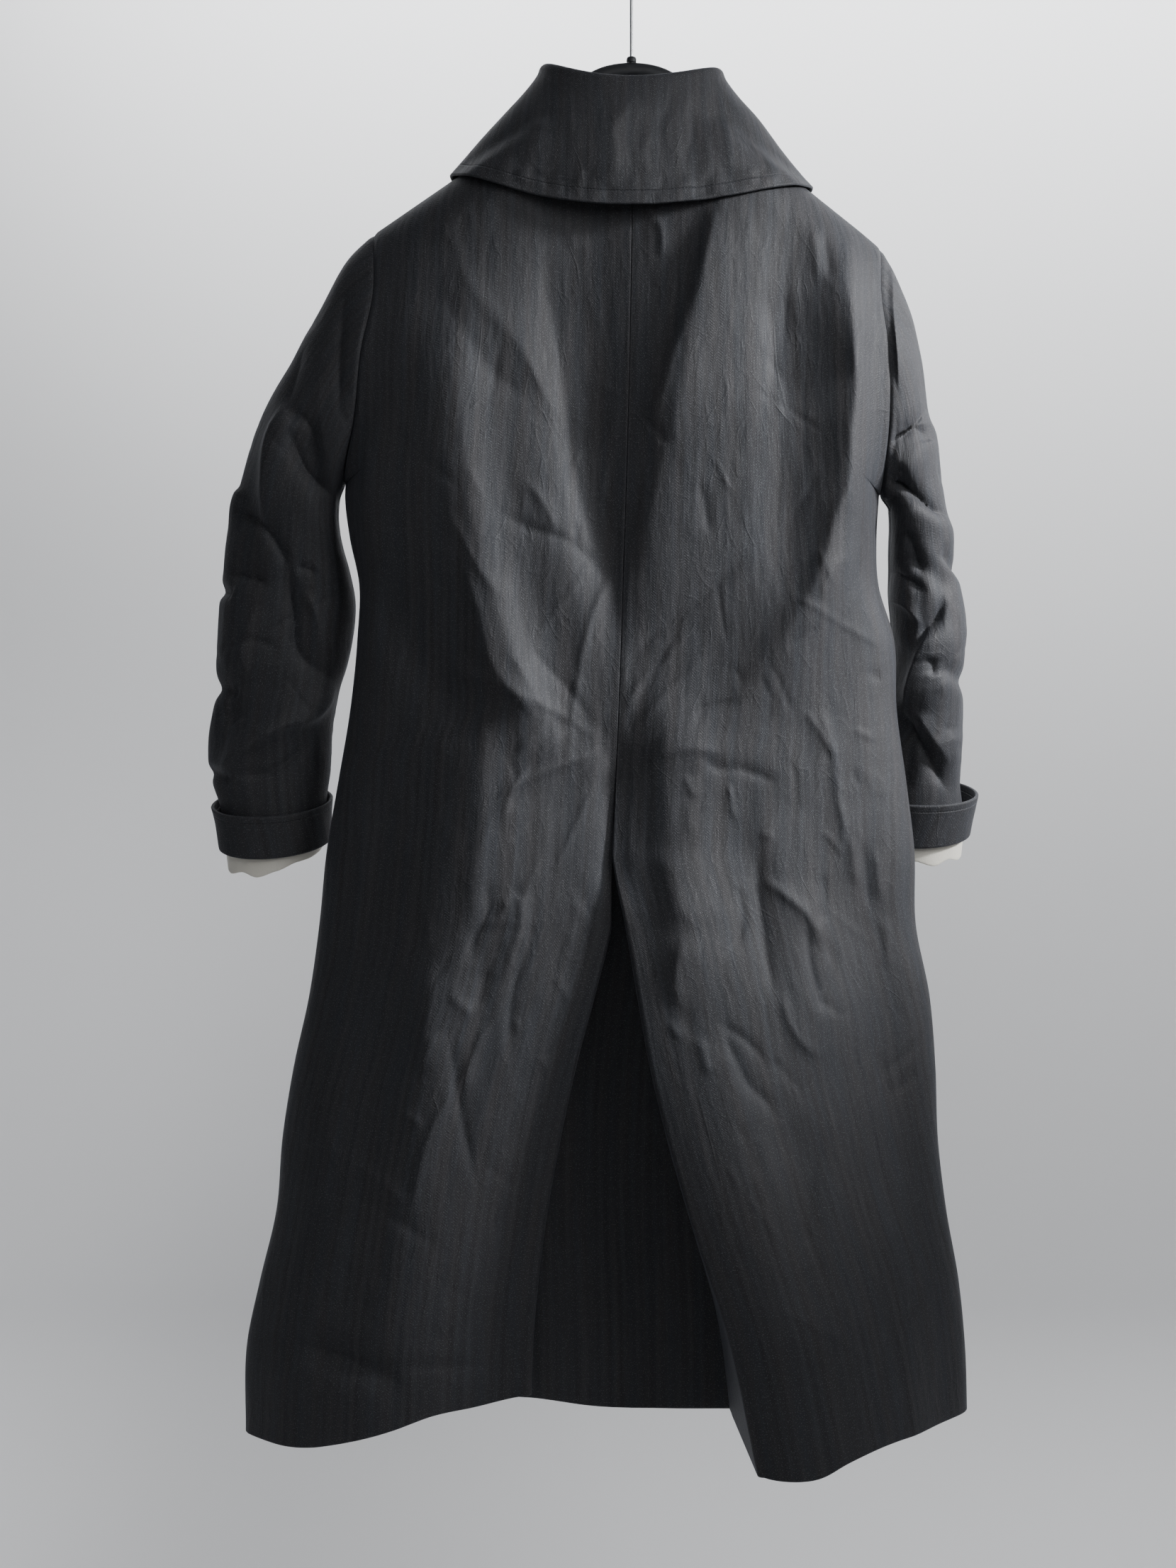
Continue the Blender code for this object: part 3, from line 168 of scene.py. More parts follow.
# The largest folds of the body: a straight run from start to end in the plane of the photograph,
# bent sideways at its middle, with a half width each side, and raised (or sunk) by a height
Fold = namedtuple("Fold", "x z end_x end_z bend left_width right_width narrow height")
BACK_FOLDS = (
    Fold(-0.150, -0.330, -0.072, -0.700, -0.022, 0.060, 0.030, 0.60, 0.013),
    Fold(-0.112, -0.640, -0.262, -1.300, 0.010, 0.056, 0.070, 1.30, 0.021),
    Fold(-0.040, -0.215, -0.014, -0.610, -0.006, 0.056, 0.060, 0.30, -0.010),
    Fold(0.076, -0.230, 0.004, -0.560, 0.004, 0.014, 0.050, 0.80, 0.004),
    Fold(0.128, -0.270, 0.122, -0.560, 0.004, 0.024, 0.034, 0.90, -0.006),
    Fold(0.176, -0.270, 0.164, -0.600, 0.012, 0.022, 0.026, 1.00, 0.004),
    Fold(0.180, -0.300, 0.126, -0.650, 0.020, 0.055, 0.022, 1.00, 0.009),
    Fold(0.170, -0.540, 0.070, -0.690, 0.012, 0.022, 0.030, 0.80, 0.004),
    Fold(-0.215, -0.560, -0.130, -0.690, -0.006, 0.022, 0.026, 1.00, -0.005),
    Fold(0.026, -0.660, 0.042, -0.900, 0.002, 0.022, 0.044, 1.00, 0.009),
    Fold(-0.016, -0.690, -0.017, -0.820, 0.000, 0.012, 0.014, 1.00, -0.005),
    Fold(0.020, -0.690, 0.150, -0.735, 0.000, 0.020, 0.020, 1.20, 0.002),
    Fold(0.105, -0.740, 0.150, -0.960, 0.008, 0.020, 0.024, 1.20, 0.004),
    Fold(0.180, -0.800, 0.205, -1.100, 0.010, 0.024, 0.030, 1.20, -0.005),
    Fold(0.125, -1.000, 0.140, -1.160, 0.004, 0.020, 0.022, 1.00, -0.004),
    Fold(-0.120, -0.850, -0.165, -1.080, 0.010, 0.018, 0.020, 1.00, -0.003),
    Fold(-0.200, -0.900, -0.250, -1.250, 0.010, 0.030, 0.026, 1.20, -0.007),
    Fold(-0.290, -1.190, -0.190, -1.225, 0.004, 0.014, 0.014, 1.00, -0.004),
)
FRONT_FOLDS = (
    Fold(-0.150, -0.330, -0.110, -0.760, 0.014, 0.050, 0.040, 0.80, 0.009),
    Fold(-0.105, -0.720, -0.190, -1.600, 0.015, 0.050, 0.045, 1.50, 0.014),
    Fold(-0.200, -0.820, -0.262, -1.450, 0.010, 0.026, 0.030, 1.30, -0.008),
    Fold(-0.070, -0.860, -0.105, -1.500, 0.006, 0.024, 0.028, 1.30, -0.008),
    Fold(-0.190, -0.340, -0.090, -0.480, 0.010, 0.014, 0.020, 1.00, -0.005),
    Fold(-0.185, -0.560, -0.095, -0.690, 0.008, 0.020, 0.024, 1.00, -0.006),
    Fold(0.140, -0.320, 0.105, -0.740, -0.012, 0.038, 0.048, 0.80, 0.009),
    Fold(0.100, -0.700, 0.165, -1.600, -0.012, 0.045, 0.050, 1.50, 0.015),
    Fold(0.170, -0.800, 0.228, -1.450, -0.008, 0.028, 0.026, 1.30, -0.008),
    Fold(0.062, -0.900, 0.092, -1.500, 0.004, 0.024, 0.024, 1.30, -0.007),
    Fold(0.185, -0.350, 0.080, -0.500, -0.008, 0.020, 0.014, 1.00, -0.005),
    Fold(0.175, -0.570, 0.085, -0.680, -0.006, 0.022, 0.020, 1.00, -0.006),
)

# Narrower creases: a half width on the lower and the higher side, how blunt the crest is, its
# height, and the curve it follows. A steep one is read along z, a level one along x.
Crease = namedtuple("Crease", "steep lower higher blunt height points")
CREASE_RUN_OUT = 0.10
CREASE_SOFT_END = 0.35
CURVE_STEP = 0.002


def steep(lower, higher, blunt, height, *points):
    """A crease that runs down the cloth, through pairs of z and x."""
    return Crease(True, lower, higher, blunt, height, points)


def level(lower, higher, blunt, height, *points):
    """A crease that runs across the cloth, through pairs of x and z."""
    return Crease(False, lower, higher, blunt, height, points)


BACK_CREASES = (
    steep(0.009, 0.042, 0.0022, 0.0085, (-0.254, 0.073), (-0.285, 0.063), (-0.319, 0.055), (-0.354, 0.043),
          (-0.383, 0.032), (-0.413, 0.024), (-0.455, 0.018)),
    steep(0.026, 0.055, 0.002, -0.0085, (-0.288, -0.072), (-0.326, -0.069), (-0.376, -0.061),
          (-0.426, -0.054), (-0.477, -0.047), (-0.52, -0.036), (-0.56, -0.024)),
    steep(0.007, 0.014, 0.0008, 0.0028, (-0.295, -0.149), (-0.335, -0.126), (-0.369, -0.097),
          (-0.413, -0.073), (-0.433, -0.065)),
    steep(0.014, 0.008, 0.003, -0.0026, (-0.3255, -0.16), (-0.352, -0.145), (-0.381, -0.126),
          (-0.399, -0.112), (-0.419, -0.088)),
    steep(0.003, 0.003, 0.0006, -0.0014, (-0.376, -0.149), (-0.386, -0.14)),
    steep(0.004, 0.006, 0.0006, 0.002, (-0.514, -0.149), (-0.561, -0.123), (-0.581, -0.108)),
    steep(0.007, 0.016, 0.0015, 0.005, (-0.548, -0.1395), (-0.595, -0.126), (-0.649, -0.106),
          (-0.665, -0.0885), (-0.679, -0.072)),
    level(0.012, 0.005, 0.0015, 0.003, (-0.1495, -0.638), (-0.106, -0.655), (-0.076, -0.679)),
    steep(0.003, 0.005, 0.0006, 0.0016, (-0.625, -0.099), (-0.655, -0.082), (-0.675, -0.072)),
    steep(0.003, 0.004, 0.0006, 0.0015, (-0.484, -0.087), (-0.5105, -0.069), (-0.527, -0.063)),
    steep(0.003, 0.003, 0.0006, -0.0013, (-0.52, -0.0467), (-0.537, -0.045)),
    level(0.006, 0.004, 0.0006, -0.0021, (-0.111, -0.5105), (-0.082, -0.524), (-0.059, -0.531),
          (-0.0386, -0.544), (-0.022, -0.561)),
    steep(0.004, 0.006, 0.0006, 0.0024, (-0.5645, -0.02), (-0.591, -0.0317), (-0.621, -0.0404),
          (-0.649, -0.045)),
    level(0.004, 0.004, 0.0006, 0.0018, (-0.095, -0.7054), (-0.082, -0.6956), (-0.067, -0.6776)),
    steep(0.005, 0.005, 0.0008, 0.0026, (-0.685, -0.051), (-0.708, -0.0746), (-0.726, -0.0897),
          (-0.749, -0.1024), (-0.767, -0.105)),
    steep(0.003, 0.004, 0.0006, -0.0018, (-0.7106, -0.077), (-0.736, -0.092), (-0.754, -0.1)),
    steep(0.004, 0.004, 0.0006, 0.0017, (-0.685, -0.049), (-0.7, -0.0514), (-0.716, -0.0525)),
    steep(0.003, 0.004, 0.0006, 0.0017, (-0.6416, -0.044), (-0.682, -0.05)),
    steep(0.003, 0.004, 0.0006, 0.0012, (-0.53, -0.004), (-0.6, -0.005), (-0.68, -0.0085)),
    steep(0.003, 0.003, 0.0006, -0.0012, (-0.4334, 0.01), (-0.4566, 0.0287)),
    steep(0.0025, 0.003, 0.0006, 0.0018, (-0.258, 0.0124), (-0.275, 0.0223), (-0.305, 0.0234)),
    steep(0.008, 0.022, 0.002, -0.0034, (-0.329, 0.1093), (-0.359, 0.1145), (-0.4264, 0.1157)),
    steep(0.004, 0.005, 0.0008, 0.0021, (-0.275, 0.148), (-0.3186, 0.1516)),
    steep(0.004, 0.004, 0.0008, -0.0015, (-0.3325, 0.126), (-0.369, 0.1244)),
    steep(0.004, 0.004, 0.0008, -0.0019, (-0.28, 0.158), (-0.32, 0.162)),
    steep(0.011, 0.016, 0.0014, 0.0045, (-0.288, 0.1783), (-0.316, 0.1737), (-0.342, 0.1783), (-0.376, 0.18),
          (-0.406, 0.1835), (-0.44, 0.1783), (-0.494, 0.1754), (-0.5105, 0.1667), (-0.541, 0.1586),
          (-0.574, 0.1464), (-0.6016, 0.1296), (-0.635, 0.0994)),
    steep(0.003, 0.005, 0.0008, 0.0019, (-0.349, 0.1916), (-0.3725, 0.1835), (-0.4, 0.18)),
    level(0.005, 0.005, 0.0006, -0.0026, (-0.0015, -0.628), (0.0188, -0.608), (0.032, -0.598),
          (0.0658, -0.571), (0.0925, -0.551)),
    steep(0.003, 0.004, 0.0006, 0.0021, (-0.6115, 0.036), (-0.6335, 0.025), (-0.65, 0.0055),
          (-0.662, -0.0015), (-0.677, -0.0044)),
    steep(0.003, 0.004, 0.0006, 0.0017, (-0.544, 0.1737), (-0.561, 0.1615), (-0.581, 0.1534)),
    steep(0.004, 0.004, 0.0006, 0.0015, (-0.672, 0.143), (-0.709, 0.1667)),
    level(0.004, 0.004, 0.0006, -0.0015, (0.126, -0.621), (0.153, -0.604)),
    steep(0.004, 0.004, 0.0006, -0.0015, (-0.487, 0.056), (-0.527, 0.0623)),
    steep(0.014, 0.03, 0.004, 0.003, (-0.787, 0.0246), (-0.818, 0.0321), (-0.849, 0.0426)),
    steep(0.005, 0.006, 0.0008, -0.0034, (-0.787, 0.1023), (-0.818, 0.1023), (-0.853, 0.1064),
          (-0.879, 0.11), (-0.904, 0.114)),
    steep(0.004, 0.007, 0.0008, 0.003, (-0.8104, 0.1087), (-0.823, 0.1238), (-0.836, 0.1394),
          (-0.8487, 0.1493), (-0.864, 0.151)),
    steep(0.004, 0.006, 0.0008, -0.003, (-0.8487, 0.1418), (-0.889, 0.147), (-0.915, 0.1545)),
    level(0.004, 0.004, 0.0006, -0.0024, (0.0704, -0.9276), (0.0884, -0.938), (0.1064, -0.9554)),
    steep(0.004, 0.006, 0.0006, -0.0028, (-0.933, 0.0727), (-0.9554, 0.0832), (-0.9763, 0.0936),
          (-0.9914, 0.1087), (-1.004, 0.114)),
    steep(0.004, 0.005, 0.0006, 0.0024, (-0.9044, 0.1215), (-0.925, 0.1267), (-0.9455, 0.1394),
          (-0.9554, 0.1493)),
    steep(0.003, 0.005, 0.0006, -0.0024, (-0.818, 0.0855), (-0.838, 0.0896), (-0.853, 0.0872),
          (-0.8713, 0.0756)),
    steep(0.003, 0.004, 0.0006, 0.0021, (-0.7234, 0.1684), (-0.7466, 0.1702), (-0.7692, 0.1748),
          (-0.782, 0.1725)),
    steep(0.003, 0.003, 0.0006, 0.0018, (-0.7756, 0.1806), (-0.816, 0.185)),
    steep(0.003, 0.004, 0.0006, -0.0017, (-0.7814, 0.191), (-0.8394, 0.197)),
    steep(0.003, 0.003, 0.0006, 0.0016, (-0.787, 0.2015), (-0.828, 0.206)),
    steep(0.003, 0.004, 0.0006, 0.0018, (-0.8435, 0.2085), (-0.8638, 0.212), (-0.884, 0.2108)),
    steep(0.003, 0.004, 0.0006, -0.0021, (-0.8075, 0.1574), (-0.833, 0.1574), (-0.8487, 0.1522)),
    steep(0.003, 0.004, 0.0006, -0.0021, (-0.8638, 0.1621), (-0.884, 0.165), (-0.9044, 0.1574),
          (-0.92, 0.1545)),
    steep(0.004, 0.008, 0.0008, 0.0025, (-0.8585, 0.0397), (-0.889, 0.0333), (-0.915, 0.0362)),
    steep(0.003, 0.004, 0.0006, 0.0015, (-0.9247, 0.0292), (-0.938, 0.0362)),
    steep(0.004, 0.006, 0.0006, 0.0021, (-0.938, 0.0524), (-0.9658, 0.06)),
    level(0.004, 0.005, 0.0006, -0.0022, (0.0553, -0.7106), (0.0652, -0.718), (0.0884, -0.721),
          (0.119, -0.731)),
    level(0.003, 0.003, 0.0006, 0.0014, (0.1035, -0.7744), (0.1162, -0.7744)),
    level(0.004, 0.004, 0.0006, -0.0015, (0.216, -0.989), (0.2363, -0.9734)),
    steep(0.003, 0.005, 0.0006, 0.0019, (-0.6747, 0.1574), (-0.7054, 0.165), (-0.7286, 0.1713)),
    steep(0.003, 0.003, 0.0006, 0.0014, (-0.7257, 0.0426), (-0.7437, 0.05)),
    steep(0.003, 0.003, 0.0006, 0.0015, (-0.732, 0.0785), (-0.7617, 0.0832)),
    steep(0.016, 0.018, 0.004, 0.0036, (-0.672, -0.1175), (-0.7106, -0.1216), (-0.7565, -0.1227),
          (-0.802, -0.1268), (-0.833, -0.128), (-0.853, -0.1303), (-0.8765, -0.1407)),
    steep(0.01, 0.012, 0.0025, 0.0026, (-0.884, -0.161), (-0.915, -0.166), (-0.966, -0.174)),
    steep(0.004, 0.005, 0.0006, -0.0026, (-0.8127, -0.1175), (-0.838, -0.119), (-0.856, -0.129),
          (-0.8765, -0.133)),
    steep(0.004, 0.01, 0.0008, 0.0022, (-0.823, -0.1024), (-0.8435, -0.11), (-0.851, -0.1204)),
    steep(0.004, 0.005, 0.0006, -0.0024, (-0.833, -0.082), (-0.8638, -0.0856), (-0.8817, -0.092),
          (-0.9044, -0.0984), (-0.953, -0.1013)),
    steep(0.005, 0.007, 0.0008, 0.0024, (-0.7947, -0.077), (-0.823, -0.0873), (-0.8487, -0.092),
          (-0.889, -0.1047)),
    steep(0.003, 0.004, 0.0006, -0.0018, (-0.884, -0.1204), (-0.902, -0.124), (-0.915, -0.127)),
    level(0.003, 0.004, 0.0006, 0.0018, (-0.1494, -0.9044), (-0.1303, -0.92)),
    steep(0.003, 0.004, 0.0006, 0.002, (-0.93, -0.1175), (-0.948, -0.128), (-0.971, -0.1355),
          (-0.986, -0.1366)),
    steep(0.005, 0.006, 0.0008, 0.002, (-0.935, -0.161), (-0.966, -0.174)),
    level(0.003, 0.003, 0.0006, 0.0014, (-0.194, -0.999), (-0.1714, -1.009)),
    steep(0.006, 0.006, 0.002, -0.0022, (-1.019, 0.153), (-1.073, 0.141), (-1.114, 0.137)),
    level(0.004, 0.005, 0.0015, -0.002, (-0.272, -1.197), (-0.23, -1.205), (-0.19, -1.218)),
    level(0.004, 0.005, 0.0015, -0.0017, (0.199, -1.185), (0.24, -1.156)),
    level(0.003, 0.004, 0.0006, 0.0017, (-0.104, -0.655), (-0.066, -0.672), (-0.03, -0.694)),
    level(0.003, 0.004, 0.0006, -0.0015, (-0.084, -0.624), (-0.058, -0.65), (-0.034, -0.68)),
    level(0.004, 0.003, 0.0006, 0.0019, (-0.112, -0.742), (-0.07, -0.722), (-0.03, -0.708)),
    level(0.003, 0.004, 0.0006, -0.0016, (-0.098, -0.776), (-0.064, -0.748), (-0.034, -0.722)),
    steep(0.003, 0.003, 0.0006, 0.0015, (-0.8, -0.062), (-0.765, -0.046), (-0.735, -0.032)),
    level(0.003, 0.004, 0.0006, 0.0018, (0.006, -0.682), (0.034, -0.652), (0.062, -0.632)),
    level(0.003, 0.004, 0.0006, -0.0016, (0.004, -0.664), (0.022, -0.634), (0.04, -0.606)),
    level(0.004, 0.003, 0.0006, -0.0018, (0.008, -0.696), (0.046, -0.676), (0.092, -0.664)),
    level(0.003, 0.004, 0.0006, 0.0015, (0.012, -0.712), (0.046, -0.704), (0.074, -0.708)),
    level(0.004, 0.005, 0.001, -0.0017, (-0.29, -1.188), (-0.21, -1.206), (-0.118, -1.212)),
    level(0.004, 0.006, 0.001, 0.0014, (-0.292, -1.02), (-0.235, -1.04), (-0.182, -1.074)),
    level(0.004, 0.005, 0.001, -0.0013, (-0.262, -1.066), (-0.215, -1.076), (-0.156, -1.112)),
    steep(0.004, 0.005, 0.0008, -0.0022, (-1.06, -0.128), (-0.99, -0.142), (-0.93, -0.15)),
    steep(0.004, 0.005, 0.0008, 0.0022, (-1.08, -0.18), (-1.01, -0.162), (-0.96, -0.132)),
)
FRONT_CREASES = (
    steep(0.014, 0.01, 0.003, 0.003, (-0.32, -0.15), (-0.4, -0.128), (-0.48, -0.12), (-0.56, -0.112)),
    level(0.006, 0.008, 0.0018, -0.0024, (-0.2, -0.36), (-0.15, -0.388), (-0.11, -0.43)),
    level(0.006, 0.008, 0.0018, -0.0026, (-0.18, -0.565), (-0.13, -0.596), (-0.09, -0.64)),
    steep(0.006, 0.008, 0.002, -0.0022, (-0.65, -0.08), (-0.72, -0.092), (-0.81, -0.088)),
    steep(0.008, 0.006, 0.002, 0.0028, (-0.56, -0.16), (-0.64, -0.152), (-0.7, -0.135)),
    steep(0.006, 0.006, 0.0018, -0.0022, (-0.84, -0.15), (-0.93, -0.16), (-1.01, -0.182)),
    level(0.004, 0.005, 0.0015, -0.0018, (-0.26, -1.15), (-0.215, -1.16), (-0.18, -1.185)),
    steep(0.01, 0.014, 0.003, 0.003, (-0.31, 0.14), (-0.39, 0.122), (-0.47, 0.118), (-0.54, 0.104)),
    level(0.007, 0.006, 0.0018, -0.0024, (0.1, -0.445), (0.14, -0.402), (0.195, -0.372)),
    level(0.006, 0.008, 0.0018, -0.0026, (0.085, -0.65), (0.13, -0.6), (0.17, -0.58)),
    steep(0.006, 0.01, 0.002, 0.0028, (-0.56, 0.152), (-0.65, 0.146), (-0.72, 0.128)),
    steep(0.008, 0.006, 0.002, -0.0022, (-0.69, 0.074), (-0.76, 0.082), (-0.84, 0.076)),
    steep(0.006, 0.006, 0.0018, -0.0022, (-0.86, 0.13), (-0.95, 0.142), (-1.06, 0.15)),
    steep(0.008, 0.006, 0.002, 0.002, (-0.9, 0.19), (-1.0, 0.204), (-1.1, 0.205)),
    level(0.004, 0.005, 0.0015, -0.0018, (0.17, -1.17), (0.215, -1.15), (0.25, -1.152)),
)

# Sleeves: outer and inner edge of each section in the plane of the photograph, half its depth, how
# far it hangs forward, and how much its back is lower than its middle
Section = namedtuple("Section", "along outer_x outer_z inner_x inner_z half_depth forward tilt")
SLEEVES = {
    LEFT: (
        Section(0.00, -0.2170, -0.2705, -0.2415, -0.4865, 0.045, 0.000, 0.000),
        Section(0.06, -0.2380, -0.2900, -0.2465, -0.4980, 0.046, 0.003, 0.000),
        Section(0.15, -0.2640, -0.3340, -0.2480, -0.5090, 0.045, 0.008, 0.000),
        Section(0.24, -0.2900, -0.3790, -0.2470, -0.5200, 0.043, 0.013, 0.000),
        Section(0.34, -0.3180, -0.4320, -0.2440, -0.5350, 0.040, 0.019, 0.001),
        Section(0.42, -0.3320, -0.4740, -0.2390, -0.5540, 0.037, 0.024, 0.002),
        Section(0.50, -0.3445, -0.5160, -0.2350, -0.5780, 0.035, 0.029, 0.003),
        Section(0.58, -0.3500, -0.5640, -0.2370, -0.6040, 0.032, 0.034, 0.004),
        Section(0.66, -0.3535, -0.6100, -0.2430, -0.6320, 0.030, 0.038, 0.006),
        Section(0.74, -0.3570, -0.6550, -0.2530, -0.6620, 0.029, 0.042, 0.008),
        Section(0.81, -0.3635, -0.6930, -0.2565, -0.6900, 0.028, 0.045, 0.010),
        Section(0.88, -0.3610, -0.7280, -0.2580, -0.7220, 0.027, 0.047, 0.012),
        Section(0.92, -0.3540, -0.7490, -0.2610, -0.7430, 0.026, 0.048, 0.013),
        Section(1.00, -0.3515, -0.7870, -0.2610, -0.7800, 0.026, 0.048, 0.013),
    ),
    RIGHT: (
        Section(0.00, 0.2110, -0.2830, 0.2090, -0.4900, 0.045, 0.000, 0.000),
        Section(0.06, 0.2205, -0.3000, 0.2165, -0.4990, 0.046, 0.004, 0.000),
        Section(0.15, 0.2345, -0.3330, 0.2190, -0.5070, 0.047, 0.010, 0.000),
        Section(0.24, 0.2455, -0.3720, 0.2200, -0.5180, 0.047, 0.016, 0.001),
        Section(0.34, 0.2535, -0.4230, 0.2200, -0.5330, 0.047, 0.023, 0.002),
        Section(0.42, 0.2640, -0.4650, 0.2200, -0.5510, 0.046, 0.028, 0.003),
        Section(0.50, 0.2710, -0.5070, 0.2205, -0.5720, 0.045, 0.033, 0.004),
        Section(0.58, 0.2800, -0.5510, 0.2230, -0.5960, 0.044, 0.037, 0.005),
        Section(0.66, 0.2880, -0.5930, 0.2245, -0.6180, 0.043, 0.041, 0.007),
        Section(0.74, 0.2860, -0.6380, 0.2205, -0.6480, 0.042, 0.046, 0.010),
        Section(0.81, 0.2870, -0.6790, 0.2140, -0.6800, 0.039, 0.054, 0.010),
        Section(0.88, 0.2840, -0.7160, 0.2080, -0.7160, 0.035, 0.063, 0.012),
        Section(0.92, 0.2875, -0.7380, 0.2060, -0.7360, 0.032, 0.067, 0.013),
        Section(1.00, 0.2930, -0.7750, 0.2050, -0.7760, 0.030, 0.070, 0.013),
    ),
}
ARMHOLE_FADE = 0.18
SLEEVE_FOLD_START = 0.05
SLEEVE_FOLD_END = 0.06
SLEEVE_LENGTH = 0.52
SLEEVE_HALF_GIRTH = 0.14
SLEEVE_RADIUS = 0.045

# The largest folds of the sleeves, placed as those of the body
SLEEVE_FOLDS = {
    LEFT: (
        Fold(-0.285, -0.395, -0.302, -0.560, -0.006, 0.016, 0.020, 1.00, 0.006),
        Fold(-0.332, -0.560, -0.338, -0.640, 0.000, 0.014, 0.036, 1.00, 0.007),
        Fold(-0.350, -0.724, -0.250, -0.655, 0.008, 0.014, 0.014, 1.00, 0.006),
        Fold(-0.352, -0.567, -0.334, -0.572, 0.000, 0.006, 0.006, 1.00, -0.005),
        Fold(-0.362, -0.650, -0.334, -0.656, 0.000, 0.007, 0.008, 1.00, -0.005),
        Fold(-0.364, -0.722, -0.340, -0.728, 0.000, 0.006, 0.006, 1.00, -0.004),
        Fold(-0.345, -0.668, -0.337, -0.682, 0.000, 0.009, 0.010, 1.00, -0.004),
        Fold(-0.275, -0.440, -0.250, -0.510, 0.000, 0.012, 0.012, 1.00, -0.005),
        Fold(-0.352, -0.505, -0.330, -0.485, 0.000, 0.008, 0.008, 1.00, 0.004),
    ),
    RIGHT: (
        Fold(0.262, -0.432, 0.222, -0.474, 0.004, 0.012, 0.013, 1.00, 0.006),
        Fold(0.225, -0.500, 0.275, -0.528, 0.004, 0.011, 0.012, 1.00, 0.005),
        Fold(0.222, -0.545, 0.270, -0.568, 0.004, 0.010, 0.010, 1.00, -0.004),
        Fold(0.288, -0.556, 0.262, -0.536, 0.000, 0.006, 0.005, 1.00, -0.006),
        Fold(0.296, -0.650, 0.262, -0.632, 0.000, 0.007, 0.008, 1.00, -0.004),
        Fold(0.232, -0.676, 0.236, -0.742, 0.000, 0.012, 0.010, 1.00, -0.005),
        Fold(0.270, -0.690, 0.284, -0.735, 0.000, 0.014, 0.014, 1.00, 0.004),
        Fold(0.225, -0.330, 0.240, -0.440, 0.000, 0.012, 0.014, 1.00, 0.003),
    ),
}

